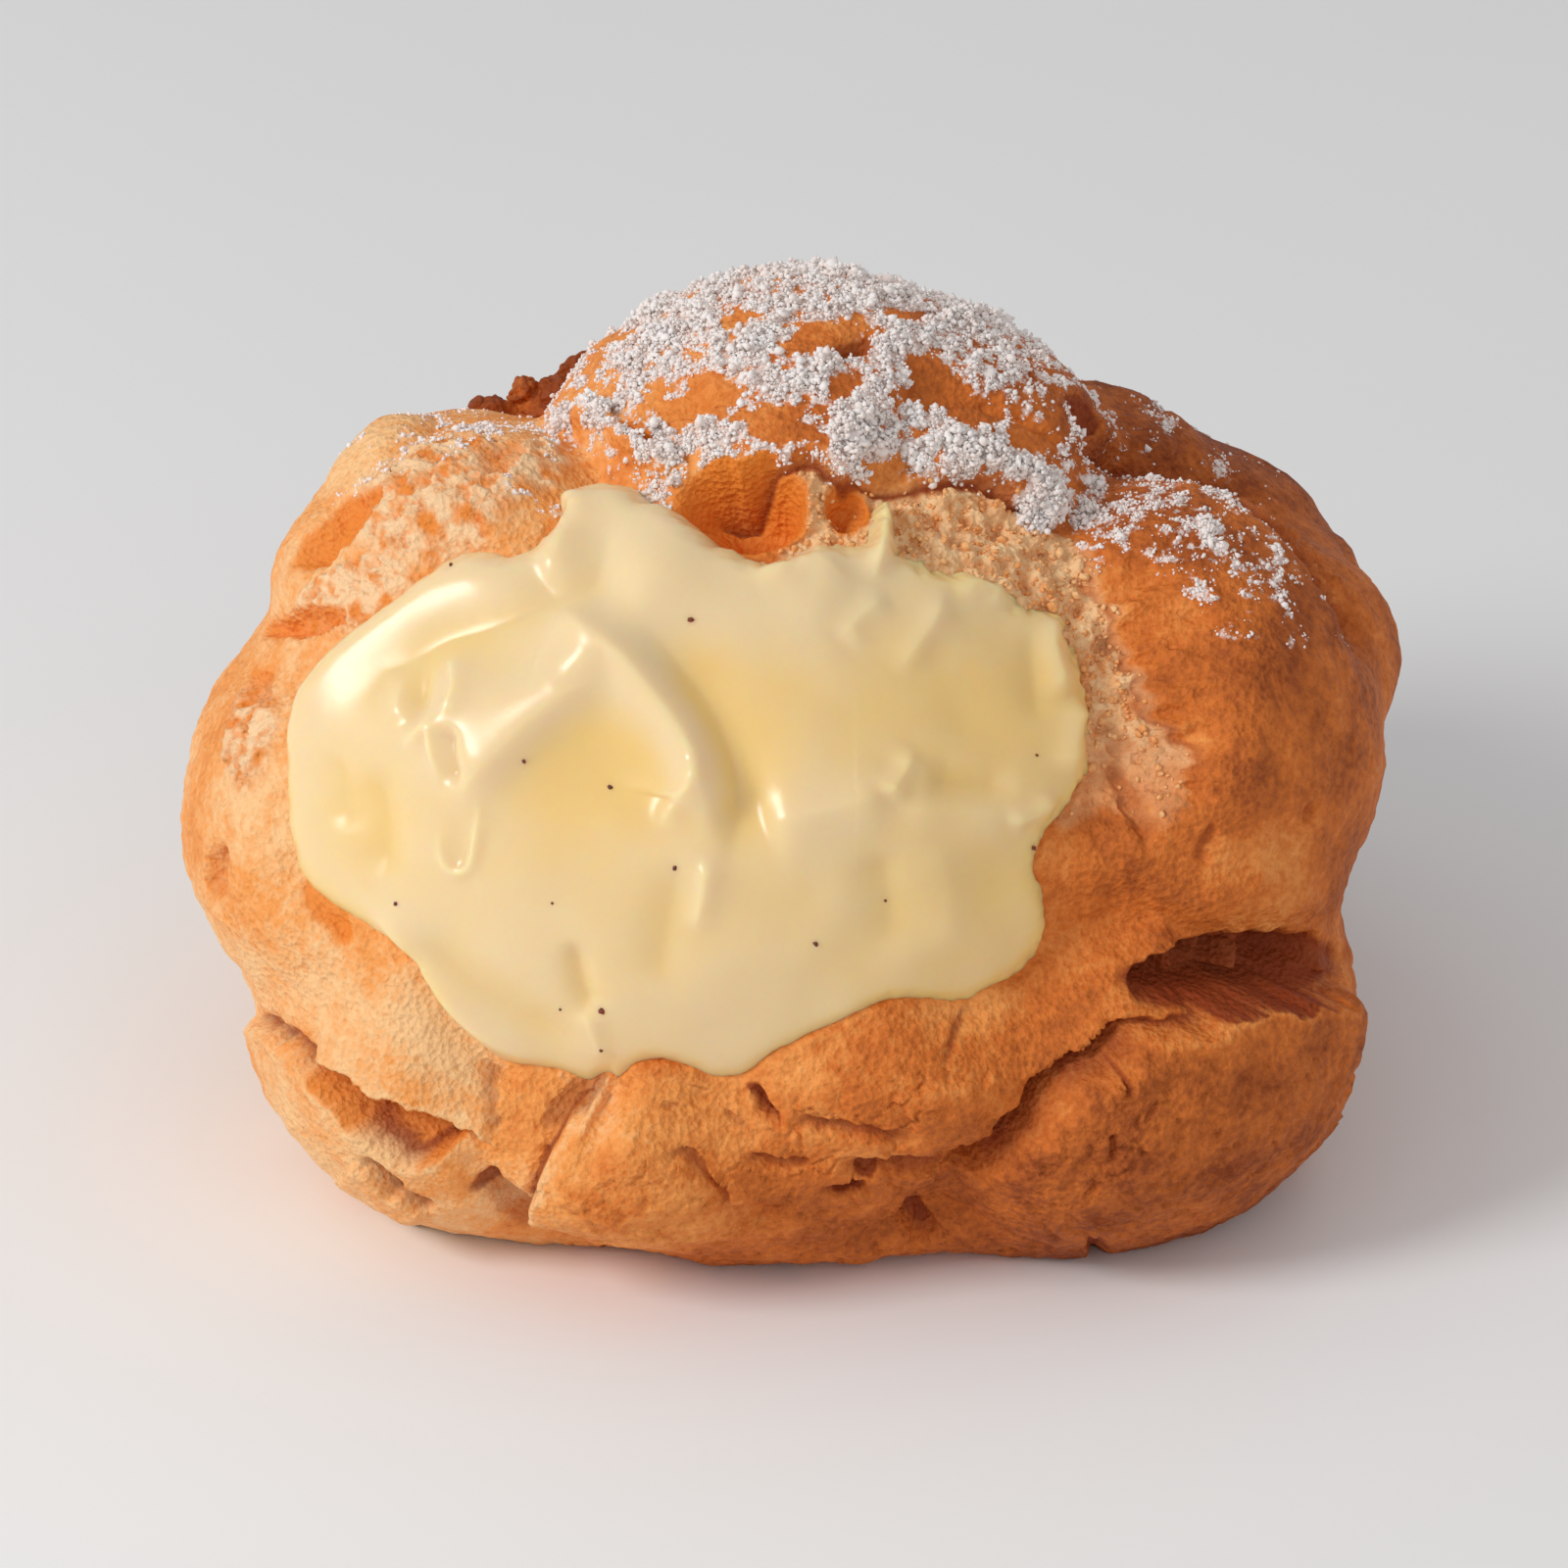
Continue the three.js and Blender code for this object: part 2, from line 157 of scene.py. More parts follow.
# Grooves and cracks in the crust. One with a negative depth stands up as a ridge, and one with a fin leaves a
# thin wall standing in a hollow.
GROOVES = [
    dict(path=[(8.8, -27.2), (12, -26.5), (13.7, -25.8), (15, -24.4), (16.3, -22.9), (17.6, -21.3),
               (19, -20.2), (20.5, -19.4), (21.8, -18.6), (22.9, -17.7), (25.6, -16.6)], depth=3.4, half=0.8),
    dict(path=[(-18.2, 24), (-14.7, 24.6), (-13, 24), (-11.6, 22.4), (-10, 21.6), (-8.4, 21), (-6.4, 20.4)],
         depth=-1.3, half=0.75),
    dict(path=[(26.6, -10.6), (27.6, -13), (28.8, -15.2)], fin=0.4, half=0.5),
    dict(path=[(29.9, -10.8), (30.2, -13.4)], fin=0.35, half=0.35),
    dict(path=[(32.2, -10.8), (32.6, -13), (32.4, -15.2)], fin=0.45, half=0.45),
    dict(path=[(36.6, -9.2), (37.2, -12), (37.6, -14.6)], fin=0.7, half=0.9),
    dict(path=[(23.6, -9.6), (24.4, -12), (23.6, -15.4)], depth=-0.9, half=1.2),
    dict(path=[(2.5, -27.2), (6.2, -27.1), (8.8, -26.9), (11.4, -26.8)], depth=1.0, half=0.6),
    dict(path=[(21.3, -19.3), (21.6, -20.4), (21.5, -21.3)], depth=1.0, half=0.25),
    dict(path=[(24, -21.4), (23.5, -22.2), (23, -23)], depth=0.6, half=0.22),
    dict(path=[(20.7, -23.3), (20.9, -24.4), (21.2, -26)], depth=0.7, half=0.25),
    dict(path=[(20.4, -26.7), (19.9, -27.4), (19.2, -28.1)], depth=0.5, half=0.22),
    dict(path=[(22.9, -24.4), (23, -25.2)], depth=0.4, half=0.2),
    dict(path=[(-33.2, -19.8), (-32, -20.1), (-30.6, -20.4)], depth=1.2, half=0.4),
    dict(path=[(-29.2, -25.8), (-28.4, -26.8), (-27, -28), (-25.9, -28.9), (-25, -29.8)],
         depth=1.8, half=0.45),
    dict(path=[(-23, -20.2), (-21.5, -22.7), (-20.4, -24.8)], depth=0.5, half=0.6),
    dict(path=[(-3.5, -21.2), (-2.8, -22.4), (-1.8, -23.6), (-0.6, -24)], depth=1.9, half=0.55),
    dict(path=[(-1, -23.9), (1.5, -24.2), (3.4, -24.5), (6, -24.9), (8.8, -25.2)], depth=0.8, half=0.5),
    dict(path=[(-3.8, -26.6), (-1, -26.9), (1.6, -27.2)], depth=0.7, half=0.4),
    dict(path=[(-9.9, -25.9), (-7.4, -26.3), (-6.2, -27.5), (-5.1, -28.8), (-4.6, -30.6)],
         depth=0.7, half=0.35),
    dict(path=[(-7.7, -21.9), (-6.9, -22.4), (-6.3, -22.9)], depth=0.5, half=0.25),
    dict(path=[(-9.8, -23.1), (-9, -23.2), (-8.2, -23.5)], depth=0.4, half=0.22),
    dict(path=[(-13.7, -22.4), (-12.8, -22.9), (-12, -23)], depth=0.35, half=0.25),
    dict(path=[(-5.6, -23.7), (-4.4, -24.2), (-3.4, -24.6)], depth=0.5, half=0.25),
    dict(path=[(12.6, -16.3), (12.1, -17.6), (11.4, -18.6), (11, -19.6), (10.2, -20.1)], depth=0.7, half=0.3),
    dict(path=[(7.1, -22.2), (7.4, -23.2), (7.9, -24.5)], depth=0.4, half=0.3),
    dict(path=[(7.4, -30), (8.6, -31.2), (9.4, -33)], depth=1.8, half=0.9),
    dict(path=[(20.2, -31), (20.8, -32.6), (21.6, -34)], depth=1.0, half=0.6),
    dict(path=[(35.9, -1.7), (35.6, -2.4), (35.3, -3.2)], depth=0.4, half=0.3),
    dict(path=[(28.8, -2.6), (28.3, -4.6), (27.6, -6.2)], depth=0.5, half=0.5),
    dict(path=[(19.3, 26), (20.6, 23.9), (22.5, 22.6), (25, 22.3), (27.5, 21.9), (30, 20.9), (32.6, 19.4),
               (35.3, 17), (37.3, 14.5), (38.9, 12), (40.2, 9.2), (40.8, 5.5)], depth=2.8, half=1.0),
]

# Hollows in the crust: middle, half sizes, turn in degrees, depth, softness of the edge, how much orange
# shows in them (part moist skin, part painted glow of light through thin dough), and how much painted
# shade darkens them.
HOLLOWS = [
    dict(at=(-27.4, -23.3), half=(5.4, 1.6), turn=-27, depth=3, soft=0.25, glow=1.0, dark=0.2),
    dict(at=(-19.8, -29.4), half=(2.0, 1.0), turn=-55, depth=1.2, soft=0.5, dark=0.5),
    dict(at=(-21.3, -27.9), half=(0.8, 0.6), turn=0, depth=1.2, soft=0.4, dark=0.8),
    dict(at=(-15.9, -23.2), half=(2.1, 1.0), turn=38, depth=1.4, soft=0.5, dark=0.6),
    dict(at=(30.8, -13.7), half=(7.0, 2.4), turn=4, depth=5, soft=0.35, dark=1.0),
    dict(at=(-33, -9.3), half=(2.5, 0.9), turn=-48, depth=1.3, soft=0.3, glow=1.0),
    dict(at=(-32, 17.1), half=(3.7, 1.2), turn=37, depth=1.4, soft=0.35, glow=1.0),
    dict(at=(-34.4, 10.7), half=(2.8, 0.9), turn=8, depth=1.3, soft=0.35, glow=0.9),
    dict(at=(-38, 6.2), half=(0.9, 1.2), turn=0, depth=1.0, soft=0.5, glow=0.7),
    dict(at=(-20.2, 22), half=(1.4, 1.1), turn=20, depth=0.8, soft=0.5, glow=0.6),
    dict(at=(-40.6, -6.8), half=(0.9, 1.7), turn=-10, depth=1.3, soft=0.5, glow=0.5, dark=0.3),
    dict(at=(-7.6, 25.6), half=(2.7, 1.6), turn=-8, depth=0.5, soft=0.6, glow=0.3),
    dict(at=(4, 29.6), half=(1.2, 0.8), turn=20, depth=1.4, soft=0.5, dark=0.7),
    dict(at=(12.7, 25.0), half=(5.4, 1.4), turn=-27, depth=1.0, soft=0.4, glow=0.1),
    dict(at=(7.6, 26.8), half=(0.6, 1.7), turn=-20, depth=0.4, soft=0.5),
    dict(at=(-3.7, 18.3), half=(4.0, 2.7), turn=-4, depth=5, soft=0.2, glow=1.0),
    dict(at=(3.8, 18.7), half=(1.4, 1.6), turn=0, depth=3.5, soft=0.25, glow=0.9),
    dict(at=(-9.3, 22.9), half=(2.9, 0.75), turn=-28, depth=1.8, soft=0.3, glow=1.0),
    dict(at=(22, 7.5), half=(0.9, 1.4), turn=0, depth=0.9, soft=0.5, glow=0.3),
    dict(at=(25.4, 2.7), half=(1.0, 1.0), turn=0, depth=0.9, soft=0.5, dark=0.3),
    dict(at=(24.2, -2), half=(0.9, 2.6), turn=-12, depth=1.3, soft=0.5, dark=0.4),
    dict(at=(4.7, -28.7), half=(2.3, 0.42), turn=3, depth=1.7, soft=0.4, dark=1.0),
    dict(at=(4.9, -27.6), half=(0.7, 0.4), turn=10, depth=0.8, soft=0.5, dark=0.8),
    dict(at=(-2.8, -30.3), half=(2.0, 0.7), turn=5, depth=0.8, soft=0.6, dark=0.3),
    dict(at=(20, 25.4), half=(1.3, 0.9), turn=-35, depth=1.6, soft=0.4, dark=0.8),
]

# Swells of the crust: middle, half sizes, turn, rise.
SWELLS = [
    dict(at=(20.8, -5.8), half=(3.4, 2.9), turn=0, rise=1.5),
    dict(at=(0.9, 18.6), half=(1.1, 2.4), turn=0, rise=0.9),
    dict(at=(-15, 30), half=(2.0, 1.0), turn=30, rise=0.5),
    dict(at=(30, -8.6), half=(8, 1.7), turn=3, rise=0.9),
    dict(at=(-19, -28), half=(2.2, 1.0), turn=-60, rise=0.4),
    dict(at=(22, 24.4), half=(1.5, 1.2), turn=-20, rise=0.7),
    dict(at=(15, -19.2), half=(5, 2.2), turn=35, rise=0.5),
]

# Folds and ridges that the spoon left in the custard. The first half width lies on the left of the way
# along the path, the second on the right.
FOLDS = [
    dict(path=[(-23.6, -3), (-22, -0.6), (-19.8, 1.6), (-18, 3.4), (-16.2, 4.9), (-14.2, 6.1), (-12, 6.7)],
         rise=1.5, halves=(4.4, 1.2)),
    dict(path=[(-20.5, 11), (-17, 11.3), (-14.9, 10.4), (-13.1, 9.2), (-11.4, 7.8), (-9.8, 6), (-8.4, 4.2),
               (-7.2, 2.3), (-6.4, 0.4), (-5.9, -1.2), (-6.2, -2.8), (-7.6, -4.4)],
         rise=1.7, halves=(1.4, 2.2)),
    dict(path=[(-9.8, -3.8), (-8.4, -2.1), (-7, -0.4), (-6.6, 1.4)], rise=0.7, halves=(0.8, 1.1)),
    dict(path=[(-11.6, 11.4), (-8.9, 8.6), (-6.2, 5), (-4.8, 2), (-4.2, -1), (-4.1, -4), (-4.6, -8)],
         rise=-1.5, halves=(3.6, 1.3)),
    dict(path=[(-35.4, -1), (-34, 5.2), (-30, 9.6), (-25, 12.9), (-20, 13.6), (-17.4, 14.2)],
         rise=0.8, halves=(2.2, 2.2)),
    dict(path=[(-12.6, 19), (-13.2, 16.4), (-14.2, 13.6), (-17.2, 11.9), (-21, 10.4), (-25, 9.2),
               (-28.4, 6.6),
               (-29.6, 3)], rise=-1.2, halves=(2.0, 2.2)),
    dict(path=[(-15.2, 20.6), (-16, 17.8), (-16.2, 15), (-18, 13.2)], rise=0.9, halves=(1.6, 1.7)),
    dict(path=[(-24.2, 8.8), (-23.1, 7), (-23, 5.2), (-24, 3.4)], rise=0.55, halves=(0.8, 0.6)),
    dict(path=[(-26.9, 7.4), (-27.1, 5.4), (-26.6, 3.4)], rise=0.35, halves=(0.6, 1.1)),
    dict(path=[(-27, 1.6), (-25.6, 2.7), (-24.6, 3.2), (-24.3, 1.6), (-24, -1)],
         rise=0.75, halves=(1.0, 0.5)),
    dict(path=[(-23.2, 3.6), (-23.1, 1.4), (-22.8, -1)], rise=-0.9, halves=(0.6, 1.0)),
    dict(path=[(-24.1, -3.2), (-24.2, -5.2), (-23.3, -6.5), (-22.2, -6.2), (-21.8, -4.8), (-21.6, -3),
               (-21.4, -1)], rise=0.42, halves=(0.36, 0.42)),
    dict(path=[(-31.6, 2.5), (-31.4, -1), (-31.2, -4.4)], rise=-0.35, halves=(1.1, 1.1)),
    dict(path=[(-29.4, 1.4), (-28.6, -3), (-28.4, -8.4)], rise=-0.6, halves=(1.5, 1.5)),
    dict(path=[(-29.4, -8.2), (-27.2, -10.8), (-25.2, -13.4), (-22.8, -16), (-19.6, -18.4), (-16, -19.8)],
         rise=1.1, halves=(1.7, 1.0)),
    dict(path=[(-27.2, -9.2), (-24.4, -12.2), (-21, -15), (-17.5, -17.2), (-14.5, -18.8)], rise=-0.8,
         halves=(1.4, 1.2)),
    dict(path=[(-15.4, -10.8), (-14.9, -14), (-13.8, -17)], rise=-0.7, halves=(1.0, 0.8)),
    dict(path=[(-14.6, -15), (-13.8, -17.6), (-12.8, -20)], rise=0.4, halves=(0.7, 0.8)),
    dict(path=[(-5.8, -5), (-6.3, -8), (-7, -11)], rise=0.6, halves=(1.2, 0.7)),
    dict(path=[(-8, -5), (-8.8, -10), (-9.6, -15)], rise=-0.6, halves=(1.8, 1.8)),
    dict(path=[(-2.6, -3.4), (-0.8, -2.9), (2.4, -2.1), (4.9, -1.4), (7.4, 0.2)],
         rise=0.75, halves=(1.7, 2.4)),
    dict(path=[(5.8, -1.6), (7, 0), (8.1, 2.2)], rise=0.65, halves=(0.9, 0.9)),
    dict(path=[(5.6, -2.2), (11, -2.4), (16.4, -3.4)], rise=0.5, halves=(1.6, 2.2)),
    dict(path=[(8.4, 0), (11.5, -0.6), (15.4, -0.8)], rise=-0.6, halves=(1.5, 1.3)),
    dict(path=[(14, -3.4), (16, -2.6), (18, -1.4)], rise=0.6, halves=(0.8, 0.8)),
    dict(path=[(-3.2, 13), (-0.6, 14.3), (1.6, 14.4), (4.2, 12.4)], rise=0.75, halves=(1.1, 1.5)),
    dict(path=[(2.8, 9), (4.4, 10.8), (6.4, 12.4)], rise=0.45, halves=(0.8, 1.2)),
    dict(path=[(6.6, 7), (8.3, 9), (9.4, 10.8), (10.2, 13)], rise=0.5, halves=(0.9, 1.0)),
    dict(path=[(10.6, 12.8), (13, 13), (14.8, 11.8)], rise=0.5, halves=(0.9, 0.8)),
    dict(path=[(18.2, 11.8), (17.4, 9.3), (17.9, 7.2), (18.6, 5)], rise=0.75, halves=(1.0, 0.8)),
    dict(path=[(19.9, 5.4), (19, 2.8), (18.6, -0.4)], rise=0.75, halves=(0.9, 1.1)),
    dict(path=[(16, 10.4), (16.4, 7), (16.8, 3)], rise=-0.35, halves=(1.0, 1.0)),
    dict(path=[(6.1, 20), (6, 17.8), (5.8, 15.6), (5.2, 13)], rise=1.1, halves=(0.7, 0.7)),
    dict(path=[(5.4, -4.6), (6.2, -8), (6.6, -12.4)], rise=-0.5, halves=(1.6, 2.2)),
    dict(path=[(9, -3.8), (10.4, -8), (10, -13)], rise=0.35, halves=(1.8, 1.8)),
]

# Scoops and dents in the custard: middle, half sizes, depth.
SCOOPS = [
    dict(at=(-13.6, 0.2), half=(6.2, 5.4), depth=1.6),
    dict(at=(-14.2, 7.6), half=(1.5, 1.1), depth=-0.35),
    dict(at=(-25.8, 5.2), half=(1.0, 2.1), depth=0.8),
    dict(at=(-18.6, 7.6), half=(3.6, 2.0), depth=0.5),
    dict(at=(-23, -4.8), half=(0.9, 1.5), depth=0.2),
    dict(at=(-29.4, -2.6), half=(3, 5), depth=0.4),
    dict(at=(-9.4, 14.4), half=(3.6, 3.2), depth=-0.9),
    dict(at=(4, 5.6), half=(6, 3.4), depth=0.5),
    dict(at=(12, 5), half=(4, 4), depth=0.5),
    dict(at=(13, -7), half=(4, 3), depth=0.5),
    dict(at=(1.4, 12.0), half=(2.4, 1.6), depth=-0.4),
]

# Specks of vanilla on the custard, and the size of each against the usual one.
SEEDS = [
    (-7.2, 10.6, 1.0), (-18.6, 1, 0.9), (-13.2, -0.8, 1.0), (-8.3, -6.3, 0.85), (-13.2, -16, 1.0),
    (1.3, -11.4, 1.05), (16.4, -5, 0.95), (-27.2, -8.7, 0.7), (-16.6, -8.7, 0.6), (-23.4, 14.3, 0.8),
    (-16.2, -16, 0.6), (6.1, -8.6, 0.6), (16.4, 1.4, 0.6), (-13.2, -18.6, 0.6),
]

# Thin skin at the flap, netted with pale threads: middle, half sizes, turn, how pale it is.
NETS = [
    ((-24.5, 19.4), (6.6, 4.0), 22, 0.5),
    ((-30.8, 12.6), (4.6, 2.1), 25, 1.0),
    ((-17.8, 21.6), (2.2, 1.6), -10, 0.6),
    ((-38.2, 3.0), (2.0, 4.0), -5, 0.4),
]

# Where icing sugar fell, in millimetres in the frame: middle, half sizes, amount.
DUST = [
    dict(at=(1, 3, 60), half=(20, 19, 12), amount=0.92),
    dict(at=(4, -9, 55), half=(15, 8, 8), amount=0.86),
    dict(at=(12, -8, 50), half=(13, 9, 6), amount=0.75),
    dict(at=(26, -9, 45), half=(11, 11, 8), amount=0.62),
    dict(at=(26, 9, 48), half=(14, 12, 8), amount=0.4),
    dict(at=(-22, -2, 50), half=(10, 9, 7), amount=0.42),
    dict(at=(-1, 22, 47), half=(18, 14, 10), amount=0.6),
    dict(at=(-10, -17, 50), half=(8, 6, 5), amount=0.5),
]
# Paths, on the crust as seen from the tear's side, where sugar lies thick or trails off.
DRIFTS = [
    dict(path=[(18.4, 18.2), (17, 19), (14.7, 20.8), (11.6, 22.2), (8.1, 22.8), (4.6, 23.1), (1.2, 22.6)],
         half=1.6, amount=1.8),
    dict(path=[(2.6, 21.6), (1.8, 23.6), (1.6, 25.4)], half=1.3, amount=0.9),
    dict(path=[(-18.2, 24), (-14.7, 24.7), (-13, 24.1), (-11.6, 22.5), (-10, 21.7), (-8.4, 21.1),
               (-6.4, 20.5)],
         half=0.85, amount=1.3),
    dict(path=[(-10.4, 24.3), (-7, 24), (-4.6, 23.2)], half=1.0, amount=1.0),
    dict(path=[(-6, 30), (-3.6, 28.4), (-2.6, 26.6), (-0.6, 27)], half=1.5, amount=0.95),
    dict(path=[(-13.4, 29), (-11.4, 27), (-12.4, 25)], half=1.4, amount=0.75),
    dict(path=[(19.6, 18.2), (22, 16.6), (24.2, 14.2)], half=1.2, amount=0.8),
    dict(path=[(25.6, 12.4), (27.4, 10), (28.6, 7.8), (29.2, 5.6)], half=1.0, amount=0.42),
    dict(path=[(-27.6, 25.6), (-24, 24.8), (-20, 23.8)], half=1.3, amount=0.55),
    dict(path=[(-21, 22.6), (-19.6, 20.6), (-18.6, 18.6)], half=1.0, amount=0.6),
]
# Patches of the same crust that stayed bare: middle, half sizes, turn.
BARE = [
    ((-7.4, 26.1), (3.0, 1.8), 0),
    ((12.7, 25.0), (5.8, 1.6), -27),
    ((7.6, 26.8), (0.8, 2.0), -20),
    ((-0.6, 23.4), (3.2, 1.2), -5),
    ((2.2, 30.4), (3.4, 1.2), 8),
    ((-3.8, 32), (1.6, 0.7), -20),
    ((8.2, 32), (2.0, 0.8), -10),
    ((-13.4, 30.4), (2.6, 0.9), 32),
    ((-14.6, 26.6), (1.0, 2.0), 0),
    ((3.4, 26.6), (1.2, 1.0), 30),
]
GRAINS_PER_PIECE = 9600

# Scraps behind the flap and the right shoulder: middle along the tear's axes, and radius.
SCRAPS = [
    ((-21.0, 25.6, 1.5), 1.5), ((-19.4, 27.4, 1.5), 1.5), ((-17.0, 26.8, 1.5), 2.1),
    ((-15.6, 28.6, 1.5), 1.3),
    ((-18.4, 25.0, 1.5), 2.4), ((-22.6, 25.2, 1.5), 1.0), ((21.6, 24.6, -4), 1.5), ((23.4, 23.8, -4), 1.6),
]

CRUMB_COUNT = 700

# ---------------------------------------------------------------- the stage, in metres unless said otherwise

LENS = 150  # focal length and sensor in millimetres
SENSOR = 36
CAMERA_AWAY = 0.47
AIM = (-0.85, -0.56)  # what the camera looks at, from the heart along U and V, in millimetres
NEAREST_SHOWN = 0.01
STUDIO_GLOW = 0.5
KEY_LIGHT = dict(offset=(-0.50, -0.26, 0.38), size=0.25, power=2.2)  # offset from the heart, power in watts
FILL_LIGHT = dict(offset=(0.25, -0.6, 0.35), size=0.5, power=0.35)
FLOOR_HALF = 1.5


# ---------------------------------------------------------------- sums over many points at once

def ramp(low, high, x):
    """A smooth step from 0 to 1 between low and high."""
    t = np.clip((x - low) / (high - low), 0, 1)
    return t * t * (3 - 2 * t)


def reach(rays, centre, half):
    """How far along each ray from the heart an ellipsoid's far side lies, or 0 where it misses."""
    scaled = rays / np.array(half, float)
    offset = np.array(centre, float) / np.array(half, float)
    a = (scaled * scaled).sum(1)
    b = scaled @ offset
    c = offset @ offset - 1
    root = b * b - a * c
    return np.where(root > 0, np.maximum(0, (b + np.sqrt(np.maximum(root, 0))) / a), 0)


def soft_max(a, b, softness):
    overlap = np.maximum(softness - np.abs(a - b), 0)
    return np.maximum(a, b) + overlap ** 2 / (4 * softness)


def lobed_radius(rays):
    radius = np.zeros(len(rays))
    for centre, half in LOBES.values():
        from_heart = np.array(centre) - (0, 0, HEART[2])
        radius = soft_max(radius, reach(rays, from_heart, half), CREASE_SOFTNESS)
    return radius


def hashed(cell, seed):
    """A number for each whole-numbered cell that looks random and never changes."""
    key = cell[:, 0] * 73856093 ^ cell[:, 1] * 19349663 ^ cell[:, 2] * 83492791 ^ seed * 2654435761
    key = (key ^ (key >> 13)) * 1274126177 & 0xFFFFFFFF
    return key ^ (key >> 16)


def unit_values(key):
    """Three values from -1 to 1 out of each hashed number."""
    return np.stack([((key >> shift) & 255) / 127.5 - 1 for shift in (0, 8, 16)], 1)


def billow(points, size, seed=0):
    """Smooth bumps about `size` apart, from about -1 to 1."""
    place = points / size + seed * 7.31
    cell = np.floor(place).astype(np.int64)
    part = place - cell
    fade = part ** 3 * (part * (part * 6 - 15) + 10)
    total = np.zeros(len(points))
    for corner in itertools.product((0, 1), repeat=3):
        slope = unit_values(hashed(cell + corner, seed))
        weight = np.where(np.array(corner) == 1, fade, 1 - fade).prod(1)
        total += weight * (slope * (part - corner)).sum(1)
    return total * 1.5


def fractal(points, size, octaves=3, seed=0):
    total = np.zeros(len(points))
    for octave in range(octaves):
        total += billow(points, size / 2 ** octave, seed + octave) / 2 ** octave
    return total


def pits(points, size, seed=0):
    """0 at the middle of each of many uneven cells about `size` apart, up to about 1 at their walls."""
    place = points / size
    cell = np.floor(place).astype(np.int64)
    first = np.full(len(points), 9.0)
    second = np.full(len(points), 9.0)
    for step in itertools.product((-1, 0, 1), repeat=3):
        near_cell = cell + step
        spot = near_cell + 0.5 + 0.45 * unit_values(hashed(near_cell, seed))
        away = ((place - spot) ** 2).sum(1)
        second = np.minimum(second, np.maximum(first, away))
        first = np.minimum(first, away)
    return 1 - np.clip(np.sqrt(second) - np.sqrt(first), 0, 1)


def smooth_path(corners, closed=False, steps=5):
    """Points along a smooth curve through the corners."""
    corners = np.array(corners, float)
    count = len(corners) if closed else len(corners) - 1
    t = (np.arange(steps) / steps)[:, None]
    out = []
    for i in range(count):
        if closed:
            a, b, c, d = (corners[(i + k) % len(corners)] for k in (-1, 0, 1, 2))
        else:
            b, c = corners[i], corners[i + 1]
            a = corners[i - 1] if i else 2 * b - c
            d = corners[i + 2] if i + 2 < len(corners) else 2 * c - b
        out.append(b + 0.5 * t * (c - a + t * (2 * a - 5 * b + 4 * c - d + t * (3 * (b - c) + d - a))))
    out.append(corners[:1] if closed else corners[-1:])
    return np.concatenate(out)


def beside(places, line, margin):
    """Where places lie against a path: distance, positive on the right of the way, and share of the way."""
    distance = np.full(len(places), np.inf)
    signed = np.full(len(places), np.inf)
    share = np.zeros(len(places))
    low, high = line.min(0) - margin, line.max(0) + margin
    chosen = np.flatnonzero(((places > low) & (places < high)).all(1))
    if not len(chosen):
        return signed, share
    p = places[chosen]
    best, side, way = distance[chosen], signed[chosen], share[chosen]
    for i in range(len(line) - 1):
        step = line[i + 1] - line[i]
        from_start = p - line[i]
        t = np.clip(from_start @ step / (step @ step), 0, 1)
        away = np.hypot(*(from_start - t[:, None] * step).T)
        nearer = away < best
        cross = step[1] * from_start[:, 0] - step[0] * from_start[:, 1]
        side = np.where(nearer, np.where(cross < 0, -away, away), side)
        way = np.where(nearer, (i + t) / (len(line) - 1), way)
        best = np.where(nearer, away, best)
    signed[chosen], share[chosen] = side, way
    return signed, share


def inside_distance(places, line):
    """How far places lie inside a closed line; outside it the distance is negative."""
    inside = np.zeros(len(places), bool)
    x, y = places.T
    for (ax, ay), (bx, by) in zip(line[:-1], line[1:]):
        if ay == by:
            continue
        crosses = (ay > y) != (by > y)
        inside ^= crosses & (x < ax + (y - ay) / (by - ay) * (bx - ax))
    signed, _ = beside(places, line, 60)
    return np.where(inside, 1, -1) * np.abs(signed)


def ends_fade(share, length=0.14):
    return ramp(0, length, share) * ramp(1, 1 - length, share)


def in_ellipse(places, at, half, turn=0):
    """1 at the ellipse's edge, 0 at its middle."""
    c, s = math.cos(math.radians(turn)), math.sin(math.radians(turn))
    x, y = (places - np.array(at)).T
    return np.hypot((c * x + s * y) / half[0], (c * y - s * x) / half[1])


# ---------------------------------------------------------------- the puff's form along each ray

TEAR_LINE = smooth_path(TEAR_EDGE, closed=True, steps=3)
CRUMB_LINE = smooth_path(CRUMB_EDGE, closed=True, steps=3)


def tear_sight(rays):
    """Rays along the tear's axes, and how they lie against the tear: depth inside its edge, and the edge's
    face width, crumbliness and level there."""
    local = rays @ TEAR_AXES.T
    faces = local[:, 2] > 0
    places = local[:, :2] * reach(local, *BULGE)[:, None]
    turn = np.degrees(np.arctan2(places[:, 1] - TEAR_MIDDLE[1], places[:, 0] - TEAR_MIDDLE[0])) % 360
    crumb = np.interp(turn, FACE_TURN, FACE_CRUMB)
    ragged = np.stack([fractal(rays * 38, 1.4, 2, 21), fractal(rays * 38, 1.4, 2, 31)], 1)
    places = places + ragged * (0.08 + 0.3 * crumb[:, None])
    depth = np.full(len(rays), -60.0)
    depth[faces] = inside_distance(places[faces], TEAR_LINE)
    width = np.interp(turn, FACE_TURN, FACE_WIDTH)
    level = np.interp(turn, FACE_TURN, FACE_LEVEL)
    return local, depth, width, crumb, level


def crust_places(rays, local, lobes):
    """Where rays meet the lobes, seen from the tear's side, wandering a little so that edges come ragged."""
    surface = rays * lobes[:, None]
    jag = np.stack([fractal(surface, 1.8, 3, 41), fractal(surface, 1.8, 3, 51)], 1)
    return (local * lobes[:, None])[:, :2] + 0.34 * jag


